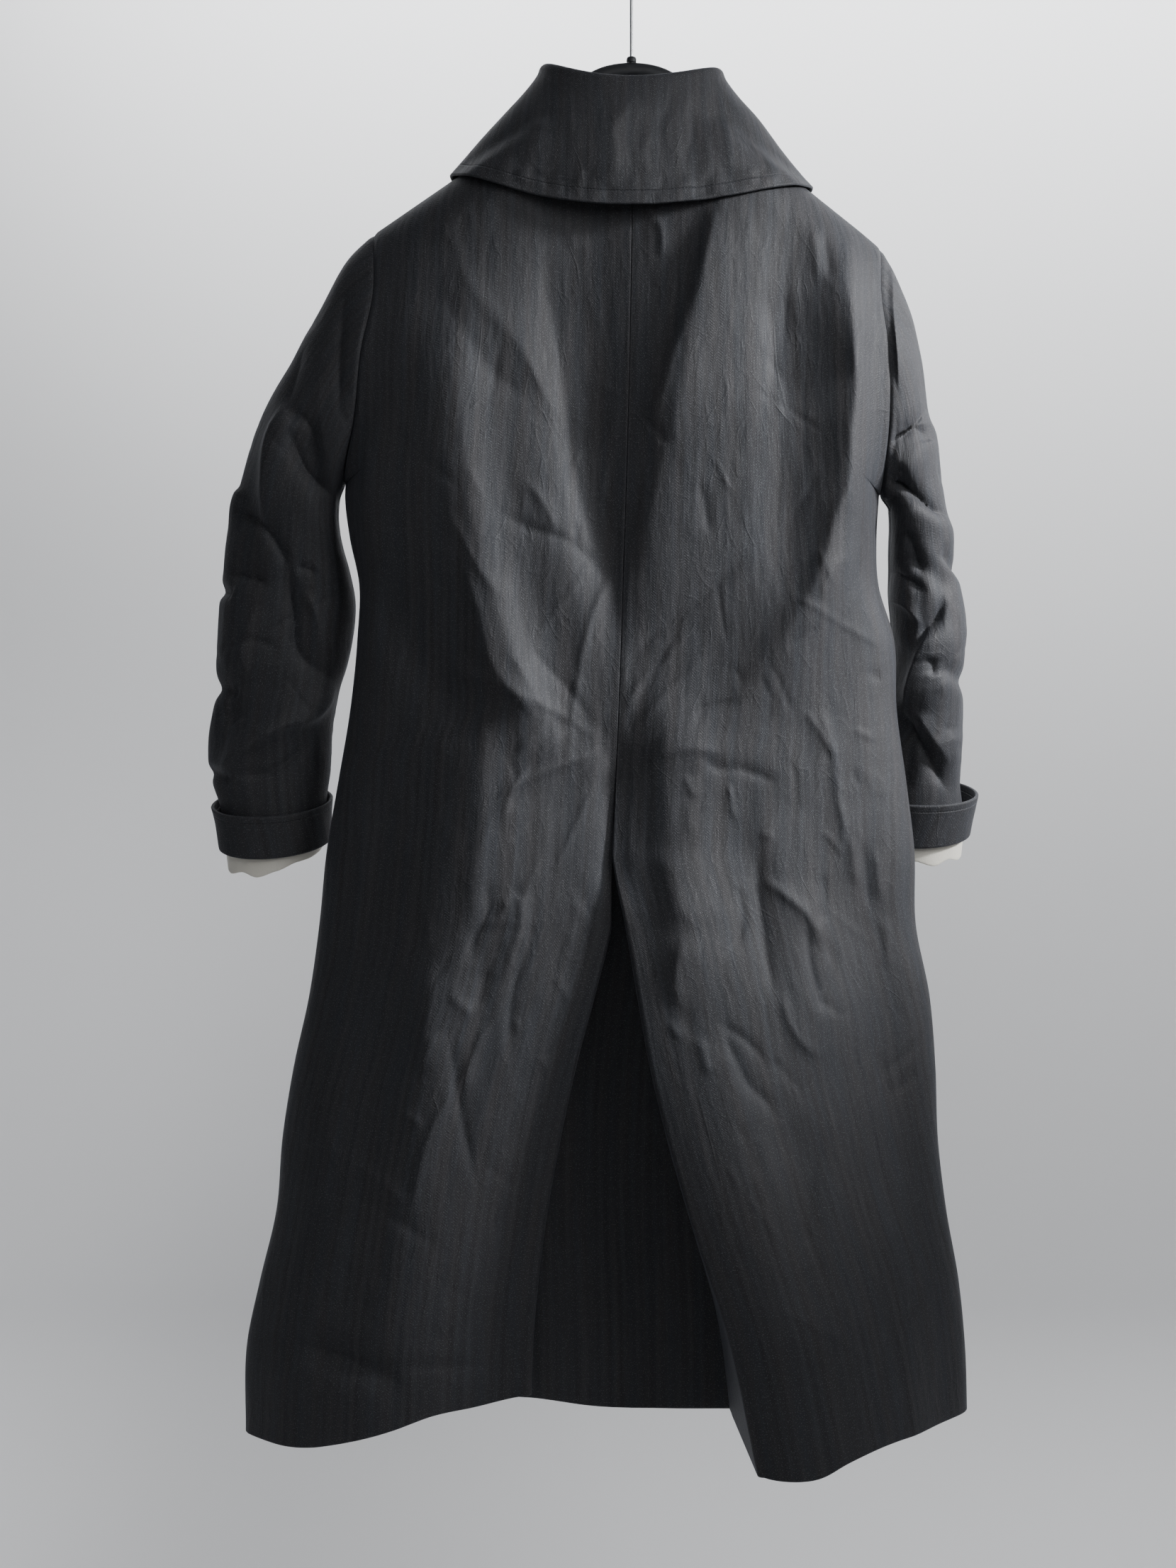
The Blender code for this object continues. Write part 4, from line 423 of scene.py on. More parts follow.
# Narrower creases of the sleeves, behind and in front
SLEEVE_CREASES = {
    (LEFT, "back"): (
        steep(0.008, 0.006, 0.0015, -0.0061, (-0.304, -0.237), (-0.356, -0.2405), (-0.426, -0.2425)),
        steep(0.01, 0.004, 0.0008, -0.0047, (-0.363, -0.2755), (-0.392, -0.281), (-0.423, -0.289)),
        steep(0.006, 0.02, 0.0008, 0.0088, (-0.423, -0.2905), (-0.452, -0.302), (-0.4855, -0.3055),
              (-0.5155, -0.3075)),
        level(0.008, 0.005, 0.0008, -0.0047, (-0.287, -0.423), (-0.2685, -0.4335), (-0.257, -0.46)),
        steep(0.005, 0.005, 0.0008, -0.0054, (-0.4415, -0.2835), (-0.4705, -0.272), (-0.5005, -0.2465)),
        level(0.006, 0.009, 0.0008, -0.0088, (-0.337, -0.497), (-0.309, -0.5155), (-0.2905, -0.5445),
              (-0.285, -0.556)),
        steep(0.006, 0.006, 0.0008, -0.0061, (-0.556, -0.2885), (-0.589, -0.285), (-0.63, -0.274),
              (-0.645, -0.2535)),
        level(0.003, 0.004, 0.0006, -0.0034, (-0.2815, -0.55), (-0.265, -0.554)),
        steep(0.003, 0.005, 0.0006, 0.0047, (-0.571, -0.274), (-0.5965, -0.2665), (-0.6185, -0.2685)),
        level(0.004, 0.005, 0.0006, -0.0047, (-0.3425, -0.5525), (-0.3055, -0.563)),
        level(0.005, 0.014, 0.0008, 0.0081, (-0.3495, -0.7225), (-0.3275, -0.704), (-0.298, -0.6855),
              (-0.261, -0.6635), (-0.2535, -0.6485)),
        level(0.003, 0.005, 0.0006, -0.003, (-0.345, -0.62), (-0.322, -0.612), (-0.3, -0.616)),
        steep(0.004, 0.004, 0.0006, 0.003, (-0.59, -0.318), (-0.622, -0.326), (-0.648, -0.322)),
        level(0.004, 0.005, 0.0008, -0.0041, (-0.335, -0.725), (-0.305, -0.722), (-0.275, -0.7)),
    ),
    (LEFT, "front"): (
        level(0.006, 0.008, 0.0008, -0.0068, (-0.34, -0.52), (-0.3, -0.548), (-0.255, -0.6)),
        level(0.006, 0.006, 0.0008, -0.0054, (-0.348, -0.61), (-0.305, -0.624), (-0.262, -0.662)),
        level(0.005, 0.011, 0.0008, 0.0061, (-0.345, -0.7), (-0.3, -0.69), (-0.264, -0.67)),
        steep(0.006, 0.014, 0.0014, 0.0061, (-0.38, -0.262), (-0.44, -0.282), (-0.5, -0.294)),
        steep(0.005, 0.006, 0.0006, -0.0041, (-0.45, -0.318), (-0.5, -0.316), (-0.54, -0.3)),
        level(0.005, 0.005, 0.0006, -0.0047, (-0.3, -0.47), (-0.275, -0.492), (-0.252, -0.505)),
    ),
    (RIGHT, "back"): (
        steep(0.004, 0.012, 0.0006, 0.0046, (-0.292, 0.2185), (-0.345, 0.2165), (-0.405, 0.2195)),
        level(0.004, 0.006, 0.0006, -0.0068, (0.2095, -0.4555), (0.229, -0.439), (0.2465, -0.4185)),
        steep(0.005, 0.005, 0.0014, -0.0054, (-0.434, 0.239), (-0.4415, 0.2445), (-0.449, 0.247)),
        level(0.006, 0.005, 0.0006, -0.0101, (0.215, -0.482), (0.232, -0.489), (0.25, -0.4985),
              (0.2635, -0.506)),
        steep(0.006, 0.006, 0.0006, -0.0081, (-0.493, 0.207), (-0.4985, 0.2095), (-0.505, 0.213)),
        steep(0.01, 0.005, 0.0008, -0.0061, (-0.519, 0.228), (-0.538, 0.237), (-0.556, 0.243)),
        level(0.004, 0.005, 0.0006, -0.0068, (0.208, -0.5465), (0.2245, -0.558), (0.2395, -0.5665),
              (0.2465, -0.5695)),
        level(0.003, 0.009, 0.0006, 0.0061, (0.2135, -0.571), (0.232, -0.5815), (0.243, -0.5965)),
        level(0.005, 0.005, 0.0006, -0.0074, (0.2415, -0.608), (0.254, -0.5965), (0.265, -0.5815)),
        steep(0.004, 0.015, 0.0006, 0.0088, (-0.6, 0.252), (-0.6265, 0.2415), (-0.667, 0.232)),
        steep(0.005, 0.006, 0.0008, -0.0054, (-0.626, 0.251), (-0.6335, 0.2535), (-0.641, 0.255)),
        steep(0.007, 0.004, 0.0006, -0.0074, (-0.674, 0.232), (-0.6965, 0.2465), (-0.719, 0.2615),
              (-0.741, 0.2725)),
        steep(0.004, 0.007, 0.0006, 0.0043, (-0.672, 0.2405), (-0.694, 0.255), (-0.716, 0.27)),
        level(0.004, 0.004, 0.0006, -0.0034, (0.256, -0.466), (0.268, -0.478), (0.276, -0.494)),
        steep(0.006, 0.006, 0.0014, -0.0035, (-0.35, 0.236), (-0.39, 0.243), (-0.425, 0.249)),
    ),
    (RIGHT, "front"): (
        level(0.005, 0.006, 0.0008, -0.0065, (0.224, -0.47), (0.25, -0.49), (0.272, -0.49)),
        level(0.005, 0.006, 0.0008, -0.0065, (0.222, -0.56), (0.25, -0.545), (0.28, -0.535)),
        level(0.005, 0.008, 0.0008, 0.0057, (0.22, -0.64), (0.25, -0.66), (0.282, -0.65)),
        steep(0.006, 0.01, 0.0008, 0.0054, (-0.6, 0.262), (-0.66, 0.25), (-0.72, 0.246)),
        steep(0.004, 0.005, 0.0006, -0.0041, (-0.42, 0.238), (-0.47, 0.246), (-0.52, 0.244)),
    ),
}

# Cuffs and the lining that shows below them
CUFF_START = 0.923
CUFF_STAND_OFF = {LEFT: 0.005, RIGHT: 0.012}
CUFF_INNER_SHARE = 0.3
CUFF_HEIGHT = 0.045
CUFF_STITCH = 0.006
CUFF_FLARE = ((0.0, 0.33, 0.67, 1.0), (1.0, 0.65, 0.3, 0.0))
LINING_START = 0.93
LINING_BELOW_OUTER = 0.019
LINING_BELOW_INNER = 0.006
LINING_TAPER = 0.002
LINING_WAVE = 0.0045
LINING_WAVES = 2.4
LINING_EDGE = [1.02, 1.04]

# Collar: one row for each loop round the neck, from the neck seam up the stand, over the fold and
# down the fall
Loop = namedtuple("Loop", "row half_x back_y front_y z_back z_left z_right z_front")
COLLAR = (
    Loop(0, 0.0767, 0.0417, 0.0417, -0.1990, -0.1768, -0.1788, -0.2605),
    Loop(1, 0.0718, 0.0405, 0.0405, -0.1760, -0.1550, -0.1575, -0.2360),
    Loop(2, 0.0672, 0.0395, 0.0395, -0.1560, -0.1345, -0.1380, -0.2100),
    Loop(3, 0.0690, 0.0415, 0.0415, -0.1508, -0.1293, -0.1330, -0.2045),
    Loop(4, 0.0730, 0.0455, 0.0455, -0.1488, -0.1275, -0.1312, -0.2020),
    Loop(5, 0.0770, 0.0497, 0.0497, -0.1508, -0.1300, -0.1335, -0.2045),
    Loop(6, 0.0805, 0.0530, 0.0530, -0.1600, -0.1380, -0.1415, -0.2120),
    Loop(7, 0.0910, 0.0590, 0.0600, -0.1830, -0.1515, -0.1555, -0.2320),
    Loop(8, 0.1080, 0.0650, 0.0660, -0.2080, -0.1700, -0.1745, -0.2540),
    Loop(9, 0.1260, 0.0690, 0.0705, -0.2310, -0.1895, -0.1990, -0.2760),
    Loop(10, 0.1420, 0.0715, 0.0735, -0.2490, -0.2080, -0.2190, -0.2960),
    Loop(11, 0.1535, 0.0730, 0.0750, -0.2610, -0.2210, -0.2315, -0.3120),
)
COLLAR_CREASES = (
    steep(0.06, 0.014, 0.002, 0.006, (-0.16, 0.003), (-0.181, -0.0075), (-0.1955, -0.0155),
          (-0.227, -0.0155), (-0.2445, -0.019)),
    steep(0.005, 0.004, 0.0006, -0.002, (-0.159, 0.032), (-0.179, 0.028), (-0.1925, 0.0255)),
    level(0.004, 0.005, 0.0006, -0.0016, (0.0515, -0.173), (0.0705, -0.186), (0.09, -0.203),
          (0.1095, -0.2205)),
    steep(0.003, 0.004, 0.0006, 0.0012, (-0.184, 0.07), (-0.199, 0.0815)),
    steep(0.003, 0.004, 0.0006, 0.0013, (-0.2, 0.012), (-0.222, 0.0085), (-0.24, 0.014)),
    steep(0.003, 0.005, 0.0006, -0.0012, (-0.172, 0.046), (-0.2, 0.0475), (-0.226, 0.043)),
    steep(0.003, 0.004, 0.0006, 0.0012, (-0.196, 0.058), (-0.222, 0.0615), (-0.242, 0.058)),
    steep(0.006, 0.008, 0.0014, 0.0012, (-0.182, -0.052), (-0.206, -0.047), (-0.222, -0.049)),
    level(0.006, 0.008, 0.0014, -0.0012, (-0.12, -0.205), (-0.092, -0.196), (-0.066, -0.198)),
)
COLLAR_STITCH = 0.011
COLLAR_SOFT = 0.0030
COLLAR_CRINKLE_WIDTH = 0.15
COLLAR_HALF_LENGTH = 0.3
COLLAR_SETTLES = 0.020
COLLAR_END = math.radians(171)
COLLAR_FOLD_ROW = 5
COLLAR_CREASES_BELOW = 0.6
COLLAR_CREASES_OVER = 2.0
COLLAR_STAND_ROW = 6.0
COLLAR_LAST_ROW = 11.0
COLLAR_EDGE_ROW = 10.97
COLLAR_LIFT = 0.0055
COLLAR_POWER = 2.0
COLLAR_SEAM_GAP = 0.0008

# Puckers along the collar's stitching: the line they stand on, and how they vary
PUCKERS = 30
PUCKER_LINE_X = (-0.154, 0.0, 0.154)
PUCKER_LINE_Z = (-0.221, -0.261, -0.2315)
PUCKERS_START = -0.115
PUCKER_STEP = (0.004, 0.014)
PUCKER_LENGTH = (0.012, 0.026)
PUCKER_LEAN = 0.22
PUCKER_HEIGHT = (0.0004, 0.0013)
PUCKER_LOWER = (0.002, 0.004)
PUCKER_HIGHER = (0.002, 0.005)
PUCKER_BLUNT = 0.0008
FRONT_PUCKER_SPREAD = 0.8

# Hanger and hook
ARCH_TOP_Z = -0.125
ARCH_SQUARE = 5.2
ARCH_FOURTH = 1300.0
ARCH_REACH = 0.0690
HANGER_REACH = 0.190
HANGER_END = 0.180
HANGER_END_ROUND = 0.0101
HANGER_END_FULL = 1.02
HANGER_STEPS = (90, 12)
HANGER_ROUND_STEPS = 37
HANGER_UNDER_CLOTH = 0.0034
HANGER_DIP = 0.0042
HANGER_DIP_WIDTH = 0.010
HANGER_HEIGHT = 0.014
SLOPE_STEP = 0.001
STEEPEST = 1.7
HANGER_NECK_HALF = 0.0060
HANGER_END_HALF = 0.0095
WIRE_RADIUS = 0.0015
HOOK_RADIUS = 0.0190
HOOK_START = math.radians(-52)
HOOK_END = math.radians(212)
SHAFT_TOP_Z = -0.064
HOOK_PULL = 0.016
HOOK_TIP = (0.35, 0.65, 0.85, 0.97)
SHAFT_STEPS = 8
BEND_STEPS = 17
CURL_STEPS = 60
WIRE_ROUND_STEPS = 21
BORE_DEPTH = 0.010
FERRULE_RADIUS = 0.0042
FERRULE_HEIGHT = 0.0045
FERRULE_CLEARANCE = 0.0002
FERRULE_ROUND_STEPS = 33

# The outside of the ferrule, as shares of its radius and of its height
FERRULE_PROFILE = (
    (0.98, 0.0), (1.0, 0.06), (1.0, 0.55), (0.96, 0.72), (0.88, 0.88), (0.76, 0.97), (0.62, 1.0),
)

# Buttons of the front
BUTTON_HEIGHTS = (-0.370, -0.500, -0.630, -0.760)
BUTTON_RADIUS = 0.0125
BUTTON_THICKNESS = 0.0036
BUTTON_GAP = 0.0002
BUTTON_HOLE_OFFSET = 0.0022
BUTTON_HOLE_RADIUS = 0.0010
BUTTON_BEVEL = 0.0010
BUTTON_BEVEL_STEPS = 4
BUTTON_ROUND_STEPS = 48
BUTTON_HOLE_STEPS = 12
BUTTON_RIM_SHARE = 0.9
BUTTON_RIM_ANGLE = 1.0

# The fine crinkle of the crushed cloth, and the small creases between those listed above
CRINKLE = 0.0005
SMALL_CREASES = 90
SLEEVE_SMALL_CREASES = 34
SMALL_LEAN = 0.60
SLEEVE_SMALL_LEAN = 1.1
SMALL_LENGTH = (0.010, 0.050)
SMALL_BEND = 0.0016
SMALL_HEIGHT = (0.0003, 0.0011)
SMALL_WIDTH = (0.0015, 0.004)
SMALL_BLUNT = 0.0005
SMALL_TOP_Z = -0.24
SMALL_ABOVE_HEM = 0.05
SMALL_REACH = 1.2
SLEEVE_SMALL_X = (1.6, 0.95)
SLEEVE_SMALL_Z = (-0.77, -0.30)
UNEVEN_CELLS = 97

# The crinkle's parts: how far apart they come across and along the cloth
Apart = namedtuple("Apart", "across down")
SWAY = Apart(0.045, 0.050)
BROAD = Apart(0.017, 0.070)
MIDDLE = Apart(0.0085, 0.038)
SHARP = Apart(0.015, 0.060)
PATCH = Apart(0.060, 0.090)

# How far from its side and centre a panel's folds, creases, crinkle and pleat fade in, as shares of
# its width, the same for the underlay's crinkle, and how far from its top a panel's, in metres
FOLD_FADE = 0.16
CREASE_FADE = 0.10
CRINKLE_FADE = 0.05
CENTRE_FADE = 0.08
PUSH_FADE = 0.30
UNDERLAY_FADE = 0.2
TOP_FADE = 0.05

# Seeds of what is uneven
PANEL_SEED = {"back": 11, "front": 31}
SLEEVE_SEED = {"back": 51, "front": 71}
LINING_SEED = {"back": 5, "front": 6}
UNDERLAY_SEED = 91
COLLAR_SEED = 121
PUCKER_SEED = 17

# Seams and edges of the cloth
SEAM_DIP = 0.0011
SEAM_DIP_WIDTH = 0.0026
EDGE_ROUND = 0.0010
EDGE_THINNER = 0.35
EDGE_REACH = 0.05
SHARP_ANGLE = math.radians(48)
WELD = 0.000001

# Steps of the pieces' grids: a panel's across and down, a sleeve's along and round, the collar's up
# its stand, down its fall and round. The heights and widths are the ones that the closer lines at
# the edges are set out over.
PANEL_STEPS = {"back": (112, 286), "front": (80, 150)}
ARMHOLE_STEPS = 60
SLEEVE_STEPS = {"back": (240, 90), "front": (160, 60)}
UNDERLAY_STEPS = (50, 110)
COLLAR_STEPS = (44, 92, 240)
RING_STEPS = 57
CUFF_STEPS = 16
LINING_STEPS = 14
PANEL_HEIGHT = 1.06
UNDERLAY_WIDTH = 0.2
UNDERLAY_HEIGHT = 0.45
UNDERLAY_MIDDLE = 27
CENTRE_LINE = 0.001

# Closer lines beside the edges, in metres, beside the side seam, as shares, and beside the neck's
# point, as angles round the neck
EDGE_LINES = np.array([0.0005, 0.0008, 0.0024])
SIDE_LINES = np.array([0.010, 0.016, 0.022])
NECK_LINES = np.radians([4.0, 8.0, 12.0])

# The herringbone weave: half a zigzag's width, and the pitch of its ribs
TWILL_COLUMN = 0.0045
TWILL_PITCH = 0.0022

# Crush lines in the cloth's relief: their turn, how often they come across and along, their width
CrushLines = namedtuple("CrushLines", "turn across along width")
CRUSH = (
    CrushLines(0.0, 34.0, 8.0, 0.030), CrushLines(0.55, 40.0, 17.0, 0.030),
    CrushLines(-0.6, 44.0, 20.0, 0.030), CrushLines(0.15, 95.0, 40.0, 0.060),
)
STITCH_LENGTH = 0.0028
STITCH_GROOVE = 0.0009
WORN_EDGE = 0.0018

# Colours of the coat's yarns, of its tints, and of what lies on them
YARN_DARK = (0.0062, 0.0065, 0.0078, 1.0)
YARN_LIGHT = (0.0400, 0.0406, 0.0452, 1.0)
COOL_TINT = (0.90, 0.96, 1.06, 1.0)
WARM_TINT = (1.08, 1.0, 0.98, 1.0)
DULL_PATCH = (0.012, 0.012, 0.014, 1.0)
FLECK_COLOUR = (0.125, 0.127, 0.134, 1.0)
WORN_COLOUR = (0.050, 0.051, 0.056, 1.0)
STITCH_COLOUR = (0.030, 0.031, 0.034, 1.0)

# Camera and studio
CAMERA_AT = (-0.0366, -2.06, -0.7327)
CAMERA_LENS = 56.12
CAMERA_SENSOR = 36.0
FLOOR_Z = -1.62
FLOOR_START_Y = -3.6
WALL_Y = 0.70
WALL_TOP_Z = 1.6
WALL_BEND = 0.30
WALL_WIDTH = 9.0
WALL_BEND_STEPS = 14
WINDOW_AT = (1.66, -0.56, 0.20)
WINDOW_AIM = (0.03, 0.0, -0.600)
WINDOW_POWER = 290.0
WINDOW_RADIUS = 0.15
WINDOW_CONE = math.radians(28.5)
WINDOW_BLEND = 0.75
WINDOW_COLOUR = (0.97, 0.98, 1.0)
AIR_COLOUR = (0.92, 0.95, 1.0, 1.0)
AIR_STRENGTH = 0.16

# Soft rectangular lights, each stood at a place and turned towards its aim, spread in degrees
SoftLight = namedtuple("SoftLight", "name place aim width height power spread colour")
SOFT_LIGHTS = (
    SoftLight("fill", (1.20, -1.25, 0.15), (-0.14, 0.0, -0.50), 0.8, 0.9, 3.2, 84.0, (0.98, 0.99, 1.0)),
    SoftLight("room", (0.2, -2.6, 0.5), (0.0, 0.3, -0.7), 2.4, 1.6, 5.6, 180.0, (1.0, 0.99, 0.97)),
    SoftLight("wall wash", (0.70, 0.12, 0.74), (0.70, 0.64, 0.20), 2.9, 0.25, 35.0, 96.0, (0.98, 0.99, 1.0)),
)


def ease(value):
    """A soft step from 0 to 1."""
    value = np.clip(value, 0.0, 1.0)
    return value * value * (3 - 2 * value)


def mix(first, second, share):
    """The value at a share of the way from the first to the second."""
    return first + (second - first) * share


def curve(keys, values, at):
    """A smooth curve through values at rising or falling keys."""
    keys = np.array(keys)
    values = np.array(values)
    if keys[0] > keys[-1]:
        keys = keys[::-1]
        values = values[::-1]
    slopes = np.gradient(values, keys)
    at = np.clip(at, keys[0], keys[-1])
    spot = np.clip(np.searchsorted(keys, at) - 1, 0, len(keys) - 2)
    step = keys[spot + 1] - keys[spot]
    share = (at - keys[spot]) / step
    square = share * share
    cube = square * share
    return (
        values[spot] * (2 * cube - 3 * square + 1)
        + values[spot + 1] * (3 * square - 2 * cube)
        + slopes[spot] * step * (cube - 2 * square + share)
        + slopes[spot + 1] * step * (cube - square)
    )


def read(table, name, at):
    """A smooth curve through one column of a table, read at the values of its first column."""
    return curve([row[0] for row in table], [getattr(row, name) for row in table], at)


def uneven(seed, across, down):
    """Soft seeded unevenness from -1 to 1, about one unit from bump to bump."""
    cells = UNEVEN_CELLS
    grid = np.random.RandomState(seed).uniform(-1.0, 1.0, (cells, cells))
    column = np.floor(across).astype(int)
    row = np.floor(down).astype(int)
    share = ease(across - column)
    upper = mix(grid[row % cells, column % cells], grid[row % cells, (column + 1) % cells], share)
    row_below = (row + 1) % cells
    lower = mix(grid[row_below, column % cells], grid[row_below, (column + 1) % cells], share)
    return mix(upper, lower, ease(down - row))


def crushed(seed, across, down):
    """Lengthwise crinkles of crushed cloth at places in metres, about -1 to 1."""
    sway = 0.9 * uneven(seed, across / SWAY.across, down / SWAY.down)
    broad = uneven(seed + 1, across / BROAD.across + sway, down / BROAD.down)
    middle = uneven(seed + 2, across / MIDDLE.across + 1.3 * sway, down / MIDDLE.down)
    sharp = 1 - 2.4 * np.abs(uneven(seed + 3, across / SHARP.across - sway, down / SHARP.down + sway))
    patch = 0.55 + 0.45 * uneven(seed + 4, across / PATCH.across, down / PATCH.down)
    return 0.55 * broad + (0.30 * middle + 0.40 * sharp) * patch


def soft_ends(share, run_out, soft):
    """1 along a fold and 0 past its ends, for shares of its length."""
    return ease((share + run_out) / soft) * ease((1 + run_out - share) / soft)


def raised(folds, x, z):
    """How far the folds raise the cloth at a place in the plane of the photograph."""
    height = np.zeros_like(x)
    for fold in folds:
        run_x = fold.end_x - fold.x
        run_z = fold.end_z - fold.z
        length = math.hypot(run_x, run_z)
        run_x /= length
        run_z /= length
        along = ((x - fold.x) * run_x + (z - fold.z) * run_z) / length
        inside = np.clip(along, 0.0, 1.0)
        off = (z - fold.z) * run_x - (x - fold.x) * run_z - fold.bend * 4 * inside * (1 - inside)
        width = np.where(off < 0, fold.left_width, fold.right_width) * mix(1.0, fold.narrow, inside)
        height += fold.height * np.exp(-(off / width) ** 2) * soft_ends(along, FOLD_RUN_OUT, FOLD_SOFT_END)
    return height


def creased(creases, x, z):
    """How far the narrower creases raise the cloth at a place in the plane of the photograph."""
    height = np.zeros_like(x)
    for crease in creases:
        along, beside = (z, x) if crease.steep else (x, z)
        keys, values = zip(*crease.points)
        start = min(keys)
        length = max(keys) - start
        line = curve(keys, values, along)
        rise = curve(keys, values, along + CURVE_STEP) - curve(keys, values, along - CURVE_STEP)
        slope = rise / (2 * CURVE_STEP)
        off = (beside - line) / np.sqrt(1 + slope * slope)
        ends = soft_ends((along - start) / length, CREASE_RUN_OUT, CREASE_SOFT_END)
        width = np.where(off < 0, crease.lower, crease.higher)
        distance = np.sqrt(off * off + crease.blunt ** 2) - crease.blunt
        height += crease.height * np.exp(-distance / width) * ends
    return height


def small_creases(seed, count, leaning, first_x, last_x, first_z, last_z):
    """Short seeded creases, most of them along the threads, uneven in length, depth and spacing."""
    dice = np.random.RandomState(seed)
    found = []
    for _ in range(count):
        x = dice.uniform(first_x, last_x)
        z = dice.uniform(first_z, last_z)
        length = dice.uniform(*SMALL_LENGTH)
        lean = dice.normal(0.0, leaning)
        bend = dice.normal(0.0, SMALL_BEND)
        height = dice.choice((-1, 1)) * dice.uniform(*SMALL_HEIGHT)
        middle = (z + length / 2, x + lean * length / 2 + bend)
        end = (z + length, x + lean * length)
        lower, higher = dice.uniform(*SMALL_WIDTH), dice.uniform(*SMALL_WIDTH)
        found.append(steep(lower, higher, SMALL_BLUNT, height, (z, x), middle, end))
    return found


def side_x(side, z):
    """Where the body's side seam lies at a height."""
    return read(BODY, SIDE_NAMES[side], z)


def fold_x(side, z):
    """Where a back panel ends at the centre: on the seam, and below the apex on the pleat's fold."""
    seam = read(BODY, "seam", z)
    if side == LEFT:
        return np.minimum(seam - CENTRE_GAP, read(PLEAT, "left_fold", z))
    return np.maximum(seam + CENTRE_GAP, read(PLEAT, "right_fold", z))


def fold_radius(z):
    """Radius of the turn at a back panel's centre: tight on the seam, rounder on the pleat."""
    return mix(SEAM_RADIUS, FOLD_RADIUS, ease((APEX_Z - z) / FOLD_ROUNDS_OVER))


def centre_x(side, face, z):
    """The edge of a panel's flat at the centre, before the pleat's fold or past the lap."""
    if face == "front":
        return np.full_like(z, -side * LAP)
    return fold_x(side, z) + side * fold_radius(z)


def neck_round(x):
    """1 at the middle of the neck and 0 at its sides, along an ellipse."""
    return np.sqrt(np.clip(1 - (x / NECK_X) ** 2, 0.0, 1.0))


def top_z(side, face, x):
    """Height of the shoulder and neck line."""
    reach = np.abs(x)
    neck = mix(NECK_POINT_Z[side], NECK_CENTRE_Z[face], neck_round(x) ** NECK_POWER[face])
    share = (reach - NECK_X) / (abs(TIP_X[side]) - NECK_X)
    shoulder = mix(NECK_POINT_Z[side], TIP_Z[side], np.clip(share, 0.0, 1.0))
    return np.where(reach < NECK_X, neck, shoulder)


def armhole_depth(down):
    """Half the depth of the armhole, an ellipse from the shoulder tip to the underarm."""
    return ARMHOLE_HALF * np.sqrt(np.clip(1 - (2 * down / UNDERARM - 1) ** 2, 0.0, 1.0))


def armhole_fullness(across, down):
    """The armhole's depth, carried softly into the panel and down past the underarm."""
    upper = armhole_depth(np.minimum(down, UNDERARM / 2))
    soft = upper * (1 - ease((down - UNDERARM / 2) / (UNDERARM * ARMHOLE_FADE_DOWN)))
    return mix(armhole_depth(down), soft, ease(across / ARMHOLE_FADE_ACROSS))


def panel_depth(side, face, across, down, x, z):
    """How far the cloth stands off the hanging line, at the back or at the front."""
    if face == "front":
        across = 1 - x / side_x(side, z)
    arm = armhole_fullness(across, down)
    below_top = top_z(side, face, x) - z
    roll = np.sqrt(1 - (1 - np.clip(below_top / SHOULDER_ROLL, 0.0, 1.0)) ** 2)
    below = UNDERARM_FULLNESS * ease((down - UNDERARM / 2) / (UNDERARM * FULLNESS_RUN))
    bow = (1 - (1 - np.clip(across, 0.0, 1.0)) ** SIDE_POWER) ** (1 / (1 + below))
    depth = arm * (1 - bow) + read(BODY, face, z) * roll * bow + NECK_Y * neck_round(x) * (1 - roll)
    folds, creases = (BACK_FOLDS, BACK_CREASES) if face == "back" else (FRONT_FOLDS, FRONT_CREASES)
    inside = ease(below_top / TOP_FADE)
    centre = ease((1 - across) / CENTRE_FADE)
    seed = PANEL_SEED[face]
    small = small_creases(seed + 2 * side, SMALL_CREASES, SMALL_LEAN, 0.0,
                          SMALL_REACH * side * abs(TIP_X[side]), LEVEL_HEM_Z + SMALL_ABOVE_HEM, SMALL_TOP_Z)
    depth += raised(folds, x, z) * roll * ease(across / FOLD_FADE)
    depth += creased(creases, x, z) * inside * ease(across / CREASE_FADE)
    depth += creased(small, x, z) * inside * ease(across / CREASE_FADE) * centre
    depth += CRINKLE * crushed(seed + side, x, z) * inside * ease(across / CRINKLE_FADE) * centre
    if face == "back":
        starts = ease((PUSH_STARTS_Z - z) / (PUSH_STARTS_Z - PLEAT_OPENS_Z))
        push = read(PLEAT, SIDE_NAMES[side] + "_push", z) * starts
        off = (x - fold_x(side, z) - PUSH_PEAK[side]) / PUSH_WIDTH[side]
        depth += push * np.exp(-off ** 2) * ease(across / PUSH_FADE)
    elif side == LEFT:
        under = ease((x + LAP + LAP_EASE) / LAP_EASE) * ease((depth - LAP_DEPTH) / LAP_DEPTH)
        depth -= (CAD_CLOTH + LAP_GAP) * under
    return depth


def with_edges(shares, size, end=True):
    """Adds lines close to the ends of shares that run from 0 to 1 over a size in metres."""
    near = EDGE_LINES / size
    parts = [shares, near, 1 - near] if end else [shares, near]
    return np.unique(np.round(np.concatenate(parts), 7))


def down_rows(steps):
    """Shares of a panel's height, closer round the armhole's ends."""
    armhole = UNDERARM * (1 - np.cos(np.linspace(0.0, math.pi, ARMHOLE_STEPS))) / 2
    below = np.linspace(UNDERARM, 1.0, steps)[1:]
    return with_edges(np.concatenate([armhole, below]), PANEL_HEIGHT)


def across_columns(side, face, steps):
    """Shares of a panel's width, from the side to the centre."""
    tip = abs(TIP_X[side])
    middle = CENTRE_LINE if face == "back" else -LAP
    shares = with_edges(np.linspace(0.0, 1.0, steps), tip, face == "front")
    neck = (tip - NECK_X * np.cos(NECK_LINES)) / (tip - middle)
    return np.unique(np.round(np.concatenate([shares, SIDE_LINES, neck]), 7))


